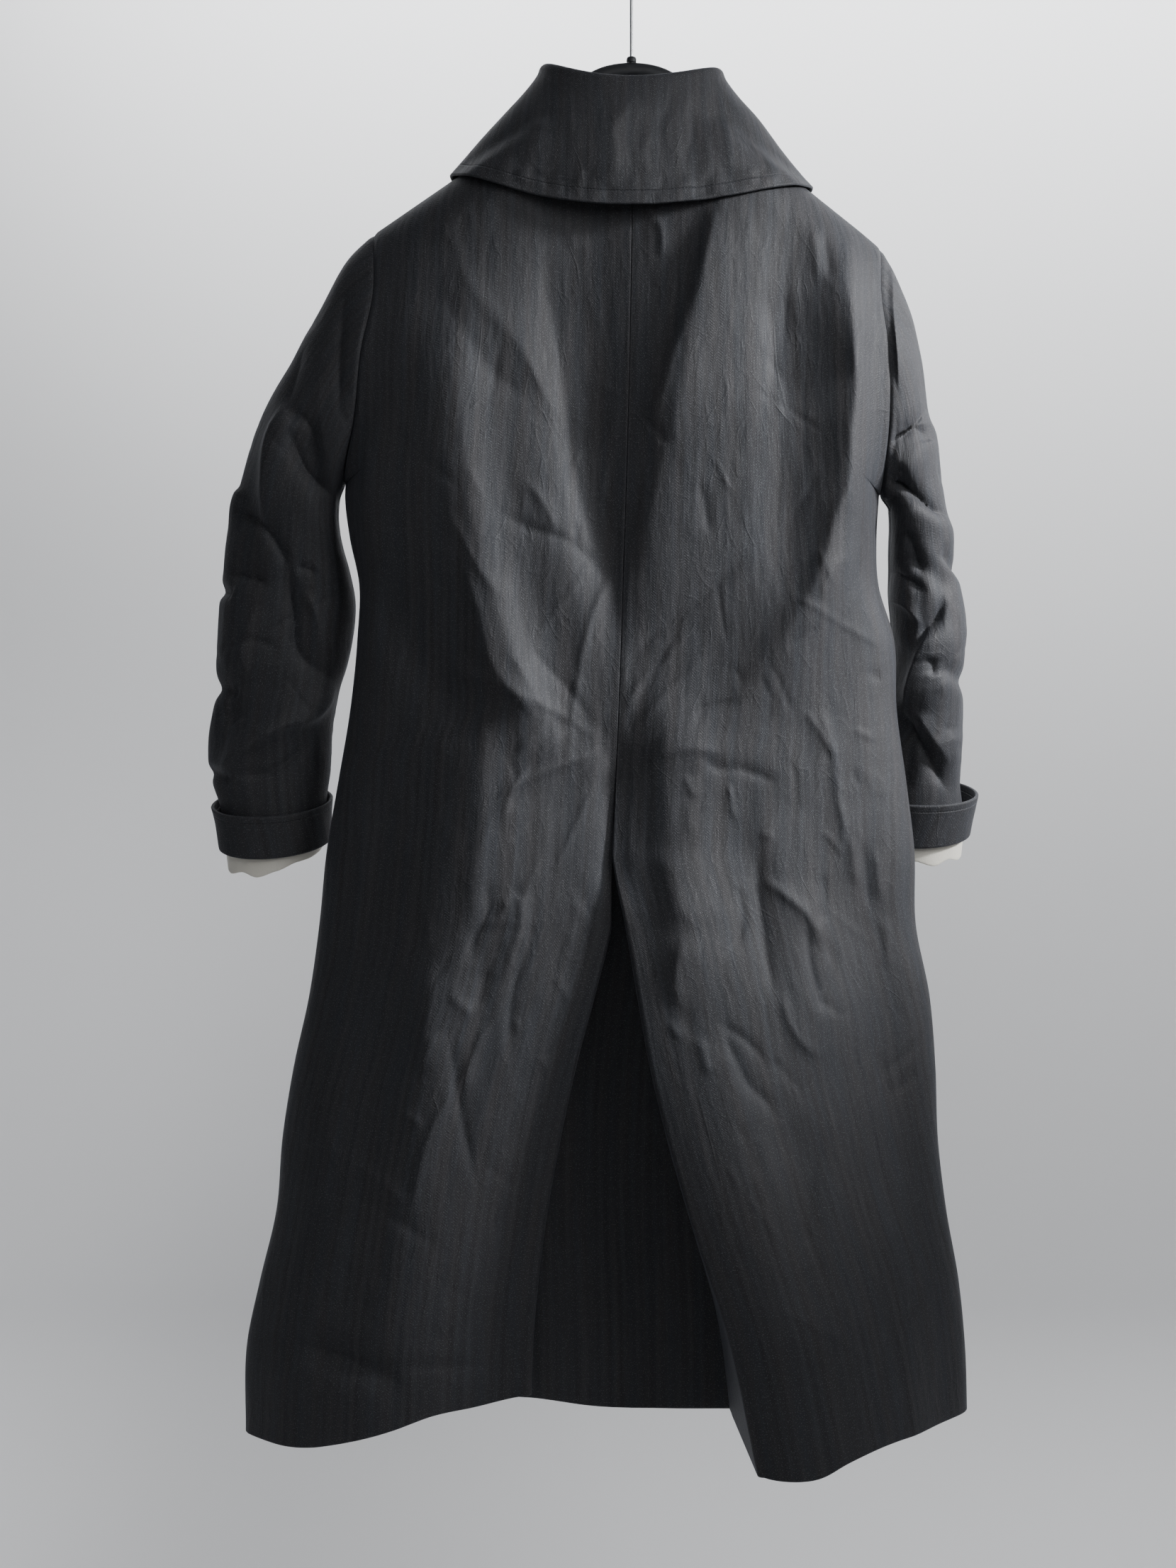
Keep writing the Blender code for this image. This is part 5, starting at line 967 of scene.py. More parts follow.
def panel_grid(side, face, across, down):
    """Places of the panel's flat, for rows of shares down and columns of shares across."""
    across, down = np.meshgrid(across, down)
    start_x = mix(TIP_X[side], centre_x(side, face, np.full_like(down, TIP_Z[side])), across)
    hem_guess = np.full_like(down, LEVEL_HEM_Z)
    hem_x = mix(side_x(side, hem_guess), centre_x(side, face, hem_guess), across)
    top = top_z(side, face, start_x)
    hem = read(BACK_HEM if face == "back" else FRONT_HEM, "z", hem_x)
    z = mix(top, LEVEL_HEM_Z, down) + (hem - LEVEL_HEM_Z) * ease((down - HEM_DIPS_FROM) / (1 - HEM_DIPS_FROM))
    x = mix(side_x(side, z), centre_x(side, face, z), across)
    depth = panel_depth(side, face, across, down, x, z)
    sign = -1 if face == "back" else 1
    return np.stack([x, sign * (depth + HALF_GAP), z], axis=-1)


def underlay_y(x, z):
    """Front face of the pleat's underlay, hollow between the two returns."""
    start = read(PLEAT, "left_root", z)
    end = read(PLEAT, "right_root", z)
    half = (end - start) / 2 + UNDERLAY_WING
    share = np.clip((x - (start + end) / 2) / half, -1.0, 1.0)
    hollow = UNDERLAY_HOLLOW * (1 - share * share) * ease((APEX_Z - z) / UNDERLAY_HOLLOW_RUN)
    return -read(PLEAT, "underlay", z) + hollow


def return_grid(side, flat, down):
    """Places of the fold at the centre and of the return behind it, down to the underlay."""
    name = SIDE_NAMES[side] + "_root"
    edge = flat[:, -1, :]
    radius = fold_radius(edge[:, 2])[:, None]
    opened = ease((PLEAT_OPENS_Z - edge[:, 2]) / (PLEAT_OPENS_Z - APEX_Z))[:, None]
    slope = np.gradient(edge, axis=0)
    inward = np.stack([0 * down, -slope[:, 2], slope[:, 1]], axis=-1)
    inward = mix(inward / np.linalg.norm(inward, axis=1)[:, None], np.array([0.0, 1.0, 0.0]), opened)
    inward = inward / np.linalg.norm(inward, axis=1)[:, None]
    outside = np.array([-side, 0.0, 0.0])
    centre = edge + inward * radius
    root_hem = read(UNDERLAY_HEM, "z", read(PLEAT, name, np.array(LEVEL_HEM_Z)))
    levels = ease((down - HEM_DIPS_FROM) / ROOT_LEVELS_OVER)
    root_z = mix(edge[:, 2], mix(edge[0, 2], root_hem, down), levels)
    root_x = read(PLEAT, name, root_z)
    laid = np.stack([root_x, underlay_y(root_x, root_z) - ROOT_GAP, root_z], axis=-1)
    root = mix(centre + outside * radius + inward * SEAM_ALLOWANCE, laid, opened)
    reach_out = np.sum((root - centre) * outside, axis=1)
    reach_in = np.sum((root - centre) * inward, axis=1)
    turn = np.arctan2(reach_in, reach_out) + np.arcsin(radius[:, 0] / np.hypot(reach_in, reach_out))
    columns = []
    for share in np.linspace(0.0, 1.0, FOLD_STEPS)[1:]:
        angle = (turn * share)[:, None]
        columns.append(centre + radius * (outside * np.sin(angle) - inward * np.cos(angle)))
    last = columns[-1]
    for share in np.linspace(0.0, 1.0, RETURN_STEPS)[1:]:
        columns.append(mix(last, root, share))
    return np.stack(columns, axis=1)


def sleeve_section(side, along):
    """The columns of the sleeve's table at a share along it."""
    return {name: read(SLEEVES[side], name, along) for name in Section._fields[1:]}


def sleeve_points(side, face, along, angle, grow=0.0, below=0.0, folded=True):
    """Places round the sleeve: angle 0 is the outer edge and pi the inner edge under the arm."""
    along, angle = np.meshgrid(along, angle, indexing="ij")
    section = sleeve_section(side, along)
    armhole = SLEEVES[side][0]
    high = (1 + np.cos(angle)) / 2
    x = mix(section["inner_x"], section["outer_x"], high)
    z = mix(section["inner_z"], section["outer_z"], high)
    sign = -1 if face == "back" else 1
    armhole_z = mix(TIP_Z[side], LEVEL_HEM_Z, UNDERARM * (1 - high))
    fade = 1 - ease(along / ARMHOLE_FADE)
    x = x + (side_x(side, armhole_z) + side * SEAM_GAP - mix(armhole.inner_x, armhole.outer_x, high)) * fade
    z = z + (armhole_z - mix(armhole.inner_z, armhole.outer_z, high)) * fade
    y = section["forward"] + sign * (section["half_depth"] * np.sin(angle) + HALF_GAP)
    z = z + sign * section["tilt"] * np.sin(angle)
    spread = grow + 0 * along
    if folded:
        steady = ease(along / SLEEVE_FOLD_START) * ease((CUFF_START - along) / SLEEVE_FOLD_END)
        inside = steady * np.sin(angle) ** 0.5
        seed = SLEEVE_SEED[face]
        first_x, last_x = (share * TIP_X[side] for share in SLEEVE_SMALL_X)
        small = small_creases(seed + 3 * side, SLEEVE_SMALL_CREASES, SLEEVE_SMALL_LEAN, first_x, last_x,
                              *SLEEVE_SMALL_Z)
        spread = spread + raised(SLEEVE_FOLDS[side], x, z) * steady * mix(np.sin(angle) ** 0.5, 1.0, high)
        spread = spread + (creased(SLEEVE_CREASES[side, face], x, z) + creased(small, x, z)) * inside
        crinkle = crushed(seed + side, angle * SLEEVE_RADIUS, along * SLEEVE_LENGTH)
        spread = spread + CRINKLE * crinkle * inside
    width = np.hypot(section["outer_x"] - section["inner_x"], section["outer_z"] - section["inner_z"])
    lean_x = (section["outer_x"] - section["inner_x"]) / width
    lean_z = (section["outer_z"] - section["inner_z"]) / width
    x = x + spread * np.cos(angle) * lean_x
    z = z + spread * np.cos(angle) * lean_z - below
    y = y + sign * spread * np.sin(angle)
    return np.stack([x, y, z], axis=-1)


def ring_points(side, along, grow, flare, below, taper=0.0):
    """Closed rings round the sleeve's end. Flare grows them mostly at the outer edge."""
    rings = []
    angles = np.linspace(0.0, math.pi, RING_STEPS)
    under = (1 - np.cos(angles)) / 2
    for share, opened, low in zip(along, flare, below):
        drop = mix(LINING_BELOW_OUTER, LINING_BELOW_INNER, under ** 0.5) * low
        wave = LINING_WAVE * np.sin(angles) * low
        out = grow + opened * mix(1.0, CUFF_INNER_SHARE, under) - taper * low
        half = []
        for face in ("back", "front"):
            sway = wave * uneven(LINING_SEED[face], LINING_WAVES * angles, 0 * angles + 0.5)
            half.append(sleeve_points(side, face, np.array([share]), angles, out, drop + sway, False)[0])
        rings.append(np.concatenate([half[0], half[1][::-1][1:-1], half[0][:1]]))
    return np.stack(rings)


def body_depth(side, face, x, z):
    """How far a panel's outer face stands off the hanging line at a place in the photograph's plane."""
    top = top_z(side, face, x)
    across = (side_x(side, z) - x) / (side_x(side, z) - centre_x(side, face, z))
    down = np.clip((top - z) / (top - LEVEL_HEM_Z), 0.0, 1.0)
    return panel_depth(side, face, np.clip(across, 0.0, 1.0), down, x, z) + HALF_GAP


def collar_puckers():
    """Short uneven puckers that the stitching draws up along the collar's lower edge."""
    dice = np.random.RandomState(PUCKER_SEED)
    found = []
    for x in np.cumsum(dice.uniform(*PUCKER_STEP, PUCKERS)) + PUCKERS_START:
        low = float(curve(PUCKER_LINE_X, PUCKER_LINE_Z, np.array(x)))
        length = dice.uniform(*PUCKER_LENGTH)
        lean = dice.normal(0.0, PUCKER_LEAN)
        height = dice.choice((-1, 1)) * dice.uniform(*PUCKER_HEIGHT)
        end = (low + length, x + lean * length)
        lower, higher = dice.uniform(*PUCKER_LOWER), dice.uniform(*PUCKER_HIGHER)
        found.append(steep(lower, higher, PUCKER_BLUNT, height, (low, x), end))
    return found


def collar_points(rows, angles):
    """Loops round the neck from front end to front end, by angle from the centre back."""
    row, angle = np.meshgrid(rows, angles, indexing="ij")
    back = np.cos(angle)
    depth = np.abs(np.where(back > 0, read(COLLAR, "back_y", row), read(COLLAR, "front_y", row)) * back)
    side_height = mix(read(COLLAR, "z_left", row), read(COLLAR, "z_right", row), (1 + np.sin(angle)) / 2)
    middle = np.where(back > 0, read(COLLAR, "z_back", row), read(COLLAR, "z_front", row))
    x = read(COLLAR, "half_x", row) * np.sin(angle)
    z = mix(side_height, middle, np.abs(back) ** COLLAR_POWER)
    sewn = 1 - ease(row)
    fallen = row > COLLAR_FOLD_ROW
    for side in (LEFT, RIGHT):
        for face in ("back", "front"):
            here = ((x < 0) == (side == LEFT)) & ((back > 0) == (face == "back"))
            seam = top_z(side, face, NECK_X * np.sin(angle)) + COLLAR_SEAM_GAP
            z = np.where(here, mix(z, seam, sewn), z)
            lower = z - COLLAR_LIFT
            near = side * np.maximum(np.abs(x), NECK_X)
            under = body_depth(side, face, near, lower) + COLLAR_LIFT
            under = np.maximum(under, body_depth(side, face, x, lower) + COLLAR_LIFT)
            room = ease((top_z(side, face, near) - lower) / COLLAR_SETTLES)
            over = np.log1p(np.exp(np.clip((under - depth) / COLLAR_SOFT, -30.0, 30.0))) * COLLAR_SOFT
            depth = np.where(here & fallen, depth + over * room, depth)
    below_fold = ease((row - COLLAR_FOLD_ROW - COLLAR_CREASES_BELOW) / COLLAR_CREASES_OVER)
    behind = np.where(back > 0, creased(collar_puckers() + list(COLLAR_CREASES), x, z), 0.0)
    before = np.where(back < 0, creased(collar_puckers(), x * FRONT_PUCKER_SPREAD, z), 0.0)
    fine = CRINKLE * crushed(COLLAR_SEED, np.sin(angle) * COLLAR_CRINKLE_WIDTH, z) * (1 + 0.5 * np.sin(angle))
    depth = depth + (behind + before + fine) * below_fold * np.abs(back) ** 0.5
    return np.stack([x, np.where(back > 0, -depth, depth), z], axis=-1)


def lengths(points):
    """Distances in metres from the first row, last row, first column and last column."""
    down = np.linalg.norm(np.diff(points, axis=0), axis=-1)
    across = np.linalg.norm(np.diff(points, axis=1), axis=-1)
    from_top = np.concatenate([np.zeros((1, points.shape[1])), np.cumsum(down, axis=0)])
    from_first = np.concatenate([np.zeros((points.shape[0], 1)), np.cumsum(across, axis=1)], axis=1)
    return from_top, from_top[-1:] - from_top, from_first, from_first[:, -1:] - from_first


def directions(points, axis, closed):
    """The direction of the grid through each point, between its two neighbours."""
    steps = np.diff(points, axis=axis)
    steps = steps / np.maximum(np.linalg.norm(steps, axis=-1, keepdims=True), 1e-9)
    first = np.take(steps, [-1 if closed else 0], axis=axis)
    last = np.take(steps, [0 if closed else -1], axis=axis)
    return np.concatenate([first, steps], axis=axis) + np.concatenate([steps, last], axis=axis)


def outward_of(points, turned, closed):
    """The direction out of the cloth at each point."""
    outward = np.cross(directions(points, 1, closed), -directions(points, 0, False))
    if turned:
        outward = -outward
    return outward / np.maximum(np.linalg.norm(outward, axis=-1, keepdims=True), 1e-9)


def mesh_of(name, shape):
    """Turns a shape's faces outward and makes it a mesh."""
    bmesh.ops.recalc_face_normals(shape, faces=shape.faces)
    mesh = bpy.data.meshes.new(name)
    shape.to_mesh(mesh)
    shape.free()
    return mesh


def place_on_grid(vertex, rows, columns):
    """The row and column of a vertex of a new square grid."""
    return round((0.5 - vertex.co.y) * rows), round((vertex.co.x + 0.5) * columns)


def grid_mesh(name, outer, inner, across, down, edge, stitch, closed):
    """A shell with an outer and an inner face, its threads' lengths as UVs in metres."""
    rows = outer.shape[0] - 1
    columns = outer.shape[1] - 1
    shape = bmesh.new()
    bmesh.ops.create_grid(shape, x_segments=columns, y_segments=rows, size=0.5)
    column_of = shape.verts.layers.int.new("column")
    row_of = shape.verts.layers.int.new("row")
    edge_of = shape.verts.layers.float.new("edge")
    stitch_of = shape.verts.layers.float.new("stitch")
    threads = shape.loops.layers.uv.new("threads")
    for vertex in shape.verts:
        row, column = place_on_grid(vertex, rows, columns)
        vertex[column_of] = column
        vertex[row_of] = row
        vertex[edge_of] = edge[row, column]
        vertex[stitch_of] = stitch[row, column]
        vertex.co = outer[row, column]
    for face in shape.faces:
        for corner in face.loops:
            row = corner.vert[row_of]
            column = corner.vert[column_of]
            corner[threads].uv = (across[row, column], down[row, column])
    if closed:
        bmesh.ops.remove_doubles(shape, verts=shape.verts, dist=WELD)
    grown = bmesh.ops.extrude_face_region(shape, geom=shape.faces, use_keep_orig=True)
    for item in grown["geom"]:
        if isinstance(item, bmesh.types.BMVert):
            item.co = inner[item[row_of], item[column_of]]
    return mesh_of(name, shape)


def show(name, mesh, look, nodes):
    """Puts a finished piece in the scene in place of its CAD nodes."""
    mesh.name = name
    mesh.materials.append(look)
    piece = bpy.data.objects.new(name + "_piece", mesh)
    bpy.context.scene.collection.objects.link(piece)
    mesh.shade_smooth()
    mesh.set_sharp_from_angle(angle=SHARP_ANGLE)
    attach(piece, "root")
    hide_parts(*nodes)
    return piece


def cloth(name, points, wall, look, turned=False, closed=False, square=(), seams=(),
          start=0, stitched=(), stitch_in=0.0):
    """A shell of cloth through rows of points.

    square lists the directions that an edge's wall must not lean to, seams the sewn edges, which dip
    a little, and stitched the edges with a line of stitches that far in. start is the column that the
    threads are counted from.
    """
    outward = outward_of(points, turned, closed)
    for rows, columns, axis in square:
        outward[rows, columns, axis] = 0.0
    outward = outward / np.maximum(np.linalg.norm(outward, axis=-1, keepdims=True), 1e-9)
    from_edges = dict(zip(("top", "bottom", "first", "last"), lengths(points)))
    dip = np.zeros(points.shape[:2])
    thin = np.zeros(points.shape[:2])
    edge = np.full(points.shape[:2], EDGE_REACH)
    stitch = np.full(points.shape[:2], EDGE_REACH)
    for label, distance in from_edges.items():
        if closed and label in ("first", "last"):
            continue
        thin = np.maximum(thin, np.clip(1 - distance / EDGE_ROUND, 0.0, 1.0) ** 2)
        if label in seams:
            dip = np.maximum(dip, np.exp(-(distance / SEAM_DIP_WIDTH) ** 2))
        edge = np.minimum(edge, distance)
        if label in stitched:
            stitch = np.minimum(stitch, distance - stitch_in)
    sink = (SEAM_DIP * dip + EDGE_THINNER * wall * thin)[..., None]
    rise = (wall * (1 - EDGE_THINNER * thin) + SEAM_DIP * dip)[..., None]
    across = from_edges["first"] - from_edges["first"][:, start][:, None]
    middle = from_edges["top"][:, points.shape[1] // 2][:, None] + 0 * across
    outer = points - outward * sink
    inner = points - outward * rise
    mesh = grid_mesh(name, outer, inner, across, middle, edge, stitch, closed)
    piece = show(name, mesh, look, [name])


def build_body(look):
    """The four body panels."""
    for side in (LEFT, RIGHT):
        for face in ("back", "front"):
            across_steps, down_steps = PANEL_STEPS[face]
            down = down_rows(down_steps)
            across = across_columns(side, face, across_steps)
            flat = panel_grid(side, face, across, down)
            armhole_rows = int(np.searchsorted(down, UNDERARM))
            neck_column = int(np.argmin(np.abs(np.abs(flat[0, :, 0]) - NECK_X)))
            square = (
                (0, slice(0, neck_column + 1), 1),
                (slice(0, armhole_rows), 0, 0),
                (slice(armhole_rows, None), 0, 1),
                (-1, slice(None), 2),
            )
            seams = ("top", "first")
            if face == "back":
                square += ((slice(None), -1, 1),)
                flat = np.concatenate([flat, return_grid(side, flat, down)], axis=1)
            turned = (side == RIGHT) != (face == "front")
            name = f"{face}_{SIDE_NAMES[side]}"
            cloth(name, flat, CLOTH, look, turned=turned, square=square, seams=seams, start=len(across) - 1)


def build_underlay(look):
    """The recessed panel of the back pleat, wider towards the hem."""
    columns = []
    hem_z = np.array(LEVEL_HEM_Z)
    across_steps, down_steps = UNDERLAY_STEPS
    down = with_edges(np.linspace(0.0, 1.0, down_steps), UNDERLAY_HEIGHT)
    for share in with_edges(np.linspace(0.0, 1.0, across_steps), UNDERLAY_WIDTH):
        start = read(PLEAT, "left_root", hem_z) - UNDERLAY_WING
        end = read(PLEAT, "right_root", hem_z) + UNDERLAY_WING
        hem = read(UNDERLAY_HEM, "z", mix(start, end, share))
        z = APEX_Z + (float(hem) - APEX_Z) * down
        first = read(PLEAT, "left_root", z) - UNDERLAY_WING
        last = read(PLEAT, "right_root", z) + UNDERLAY_WING
        x = mix(first, last, share)
        inside = ease(min(share, 1 - share) / UNDERLAY_FADE)
        y = underlay_y(x, z) + CRINKLE * crushed(UNDERLAY_SEED, x, z) * inside
        columns.append(np.stack([x, y, z], axis=-1))
    cloth("pleat_underlay", np.stack(columns, axis=1), CLOTH, look, start=UNDERLAY_MIDDLE)


def build_sleeves(look):
    """Two halves for each sleeve."""
    for side in (LEFT, RIGHT):
        for face in ("back", "front"):
            along_steps, round_steps = SLEEVE_STEPS[face]
            along = with_edges(np.linspace(0.0, 1.0, along_steps), SLEEVE_LENGTH)
            angles = with_edges(np.linspace(0.0, 1.0, round_steps), SLEEVE_HALF_GIRTH) * math.pi
            points = sleeve_points(side, face, along, angles)
            turned = (side == RIGHT) != (face == "front")
            square = ((slice(None), 0, 1), (slice(None), -1, 1), (0, slice(None), 0))
            name = f"sleeve_{face}_{SIDE_NAMES[side]}"
            cloth(name, points, CLOTH, look, turned=turned, square=square, seams=("top", "first", "last"),
                  start=len(angles) // 2)


def build_cuffs(look, lining_look):
    """The turned-up cuff and the end of the lining on each sleeve."""
    for side in (LEFT, RIGHT):
        name = SIDE_NAMES[side]
        rows = with_edges(np.linspace(0.0, 1.0, CUFF_STEPS), CUFF_HEIGHT)
        flare = curve(*CUFF_FLARE, rows) * CUFF_STAND_OFF[side]
        cuff = ring_points(side, mix(CUFF_START, 1.0, rows), CAD_CUFF_CLOTH + SEAM_GAP, flare, 0 * rows)
        cloth(f"cuff_{name}", cuff, CUFF_CLOTH, look, turned=side == RIGHT, closed=True, stitched=("top",),
              stitch_in=CUFF_STITCH)
        below = np.concatenate([[0.0], np.linspace(0.0, 1.0, LINING_STEPS), LINING_EDGE])
        along = np.where(np.arange(len(below)) == 0, LINING_START, 1.0)
        lining = ring_points(side, along, -CAD_CLOTH - 2 * SEAM_GAP, 0 * below, below, LINING_TAPER)
        cloth(f"cuff_lining_{name}", lining, LINING_CLOTH, lining_look, side == RIGHT, True)


def build_collar(look):
    """The large fold-over collar in one piece."""
    stand_steps, fall_steps, round_steps = COLLAR_STEPS
    stand = np.linspace(0.0, COLLAR_STAND_ROW, stand_steps)
    fall = np.linspace(COLLAR_STAND_ROW, COLLAR_LAST_ROW, fall_steps)
    rows = np.unique(np.concatenate([stand, fall[1:], [COLLAR_EDGE_ROW]]))
    ends = 1 - EDGE_LINES / COLLAR_HALF_LENGTH
    angles = np.unique(np.concatenate([np.linspace(-1.0, 1.0, round_steps), ends, -ends])) * COLLAR_END
    points = collar_points(rows, angles)
    cloth("collar", points, COLLAR_CLOTH, look, square=((0, slice(None), 2),), seams=("top",),
          start=len(angles) // 2, stitched=("bottom", "first", "last"), stitch_in=COLLAR_STITCH)


def hanger_top(x):
    """Upper edge of the hanger: an arch inside the neck, then arms just under the shoulders."""
    side = RIGHT if x > 0 else LEFT
    reach = abs(x)
    dip = HANGER_DIP * math.exp(-((reach - NECK_X) / HANGER_DIP_WIDTH) ** 2)
    if reach < ARCH_REACH:
        return ARCH_TOP_Z - ARCH_SQUARE * reach ** 2 - ARCH_FOURTH * reach ** 4 - dip
    slope = (TIP_Z[side] - NECK_POINT_Z[side]) / (abs(TIP_X[side]) - NECK_X)
    return NECK_POINT_Z[side] + slope * (reach - NECK_X) - HANGER_UNDER_CLOTH - dip


def lofted(name, points):
    """A closed tube through rings of points, its ends filled."""
    rows = points.shape[0] - 1
    columns = points.shape[1] - 1
    shape = bmesh.new()
    bmesh.ops.create_grid(shape, x_segments=columns, y_segments=rows, size=0.5)
    for vertex in shape.verts:
        vertex.co = points[place_on_grid(vertex, rows, columns)]
    bmesh.ops.remove_doubles(shape, verts=shape.verts, dist=WELD)
    bmesh.ops.holes_fill(shape, edges=shape.edges, sides=columns)
    return mesh_of(name, shape)


def build_hanger(look):
    """The black plastic hanger, lofted from oval sections along its length."""
    arm_steps, end_steps = HANGER_STEPS
    arm = np.linspace(0.0, HANGER_END, arm_steps)
    reach = np.concatenate([arm, np.linspace(HANGER_END, HANGER_REACH, end_steps)[1:]])
    past = (reach - HANGER_END) / HANGER_END_ROUND
    size = np.where(past > 0, np.sqrt(np.clip(HANGER_END_FULL - past ** 2, 0.0, 1.0)), 1.0)
    stations = np.concatenate([-reach[:0:-1], reach])
    sizes = np.concatenate([size[:0:-1], size])
    angles = np.linspace(0.0, 2 * math.pi, HANGER_ROUND_STEPS)
    rows = []
    for x, share in zip(stations, sizes):
        slope = (hanger_top(x + SLOPE_STEP) - hanger_top(x - SLOPE_STEP)) / (2 * SLOPE_STEP)
        height = HANGER_HEIGHT * min(math.hypot(1.0, slope), STEEPEST)
        thick = mix(HANGER_NECK_HALF, HANGER_END_HALF, ease((abs(x) - ARCH_REACH) / ARCH_REACH))
        middle = hanger_top(x) - height / 2
        y = share * thick * np.cos(angles)
        z = middle + share * height / 2 * np.sin(angles)
        rows.append(np.stack([np.full_like(y, x), y, z], axis=-1))
    show("hanger", lofted("hanger", np.stack(rows)), look, ["hanger"])


def hook_route():
    """The wire's middle line from its foot to the end of its curl."""
    middle_z = -HOOK_RADIUS
    radius = HOOK_RADIUS + WIRE_RADIUS
    foot_z = ARCH_TOP_Z - BORE_DEPTH + 2 * SEAM_GAP
    route = [(0.0, mix(foot_z, SHAFT_TOP_Z, share)) for share in np.linspace(0.0, 1.0, SHAFT_STEPS)]
    first = (radius * math.cos(HOOK_START), middle_z + radius * math.sin(HOOK_START))
    aim = (-math.sin(HOOK_START), math.cos(HOOK_START))
    xs = (0.0, 0.0, first[0] - aim[0] * HOOK_PULL, first[0])
    zs = (SHAFT_TOP_Z, SHAFT_TOP_Z + HOOK_PULL, first[1] - aim[1] * HOOK_PULL, first[1])
    for share in np.linspace(0.0, 1.0, BEND_STEPS)[1:-1]:
        rest = 1 - share
        weights = (rest ** 3, 3 * rest ** 2 * share, 3 * rest * share ** 2, share ** 3)
        route.append((sum(a * b for a, b in zip(weights, xs)), sum(a * b for a, b in zip(weights, zs))))
    for angle in np.linspace(HOOK_START, HOOK_END, CURL_STEPS):
        route.append((radius * math.cos(angle), middle_z + radius * math.sin(angle)))
    return np.array(route)


def build_hook(look):
    """The bent steel wire, its end rounded."""
    route = hook_route()
    steps = np.gradient(route, axis=0)
    steps = steps / np.linalg.norm(steps, axis=1)[:, None]
    sizes = np.ones(len(route))
    tip = route[-1]
    for share in HOOK_TIP:
        route = np.vstack([route, tip + steps[-1] * WIRE_RADIUS * share])
        steps = np.vstack([steps, steps[-1:]])
        sizes = np.append(sizes, math.sqrt(1 - share ** 2))
    angles = np.linspace(0.0, 2 * math.pi, WIRE_ROUND_STEPS)
    rows = []
    for (x, z), (step_x, step_z), size in zip(route, steps, sizes):
        out = WIRE_RADIUS * size * np.cos(angles)
        y = WIRE_RADIUS * size * np.sin(angles)
        rows.append(np.stack([x + out * step_z, y, z - out * step_x], axis=-1))
    show("hanger_hook", lofted("hanger_hook", np.stack(rows)), look, ["hanger_hook"])


def build_ferrule(look):
    """The small boss round the foot of the wire."""
    inner = WIRE_RADIUS + FERRULE_CLEARANCE
    outside = [(FERRULE_RADIUS * wide, FERRULE_HEIGHT * high) for wide, high in FERRULE_PROFILE]
    angles = np.linspace(0.0, 2 * math.pi, FERRULE_ROUND_STEPS)
    rows = []
    for radius, height in [(inner, 0.0), *outside, (inner, FERRULE_HEIGHT), (inner, 0.0)]:
        z = np.full_like(angles, ARCH_TOP_Z + SEAM_GAP + height)
        rows.append(np.stack([radius * np.cos(angles), radius * np.sin(angles), z], axis=-1))
    mesh = lofted("hanger_ferrule", np.stack(rows))
    show("hanger_ferrule", mesh, look, ["hanger_ferrule"])


def circle_edges(shape, x, y, radius, steps):
    """A ring of edges in a flat shape."""
    corners = []
    for step in range(steps):
        angle = 2 * math.pi * step / steps
        corners.append(shape.verts.new((x + radius * math.cos(angle), y + radius * math.sin(angle), 0.0)))
    return [shape.edges.new((corners[step], corners[(step + 1) % steps])) for step in range(steps)]


def build_buttons(look):
    """Four-hole buttons down the lap, each lying flat on the cloth."""
    hole = BUTTON_HOLE_OFFSET
    for number, height in enumerate(BUTTON_HEIGHTS, start=1):
        name = f"button_{number}"
        shape = bmesh.new()
        edges = circle_edges(shape, 0.0, 0.0, BUTTON_RADIUS, BUTTON_ROUND_STEPS)
        for x, y in ((-hole, -hole), (hole, -hole), (hole, hole), (-hole, hole)):
            edges += circle_edges(shape, x, y, BUTTON_HOLE_RADIUS, BUTTON_HOLE_STEPS)
        bmesh.ops.triangle_fill(shape, use_beauty=True, edges=edges)
        grown = bmesh.ops.extrude_face_region(shape, geom=shape.faces, use_keep_orig=True)
        for item in grown["geom"]:
            if isinstance(item, bmesh.types.BMVert):
                item.co.z += BUTTON_THICKNESS
        bmesh.ops.recalc_face_normals(shape, faces=shape.faces)
        rims = []
        for edge in shape.edges:
            outer = edge.verts[0].co.xy.length > BUTTON_RIM_SHARE * BUTTON_RADIUS
            if outer and len(edge.link_faces) == 2 and edge.calc_face_angle() > BUTTON_RIM_ANGLE:
                rims.append(edge)
        bmesh.ops.bevel(shape, geom=rims, offset=BUTTON_BEVEL, segments=BUTTON_BEVEL_STEPS, profile=0.5,
                        affect="EDGES", material=-1)
        near = height + BUTTON_RADIUS * np.array([1.0, 0.0, -1.0])
        depth = body_depth(RIGHT, "front", np.zeros_like(near), near)
        tilt = math.atan2(depth[0] - depth[2], 2 * BUTTON_RADIUS)
        for vertex in shape.verts:
            x, up, out = vertex.co
            y = depth.max() + BUTTON_GAP + out * math.cos(tilt) - up * math.sin(tilt)
            vertex.co = (-x, y, height + up * math.cos(tilt) + out * math.sin(tilt))
        show(name, mesh_of(name, shape), look, [name])


def look_named(name, colour):
    """A new material and its shader."""
    material = bpy.data.materials.new(name)
    material.use_nodes = True
    material.diffuse_color = (*colour, 1.0)
    return material, material.node_tree, material.node_tree.nodes["Principled BSDF"]


def node(tree, kind, **inputs):
    """A shader node. Inputs named by socket take a value or another node's output."""
    made = tree.nodes.new("ShaderNode" + kind)
    for label, value in inputs.items():
        if hasattr(made, label):
            setattr(made, label, value)
            continue
        socket = made.inputs[int(label[1:])] if label[1:].isdigit() else made.inputs[label]
        if isinstance(value, bpy.types.NodeSocket):
            tree.links.new(value, socket)
        else:
            socket.default_value = value
    return made


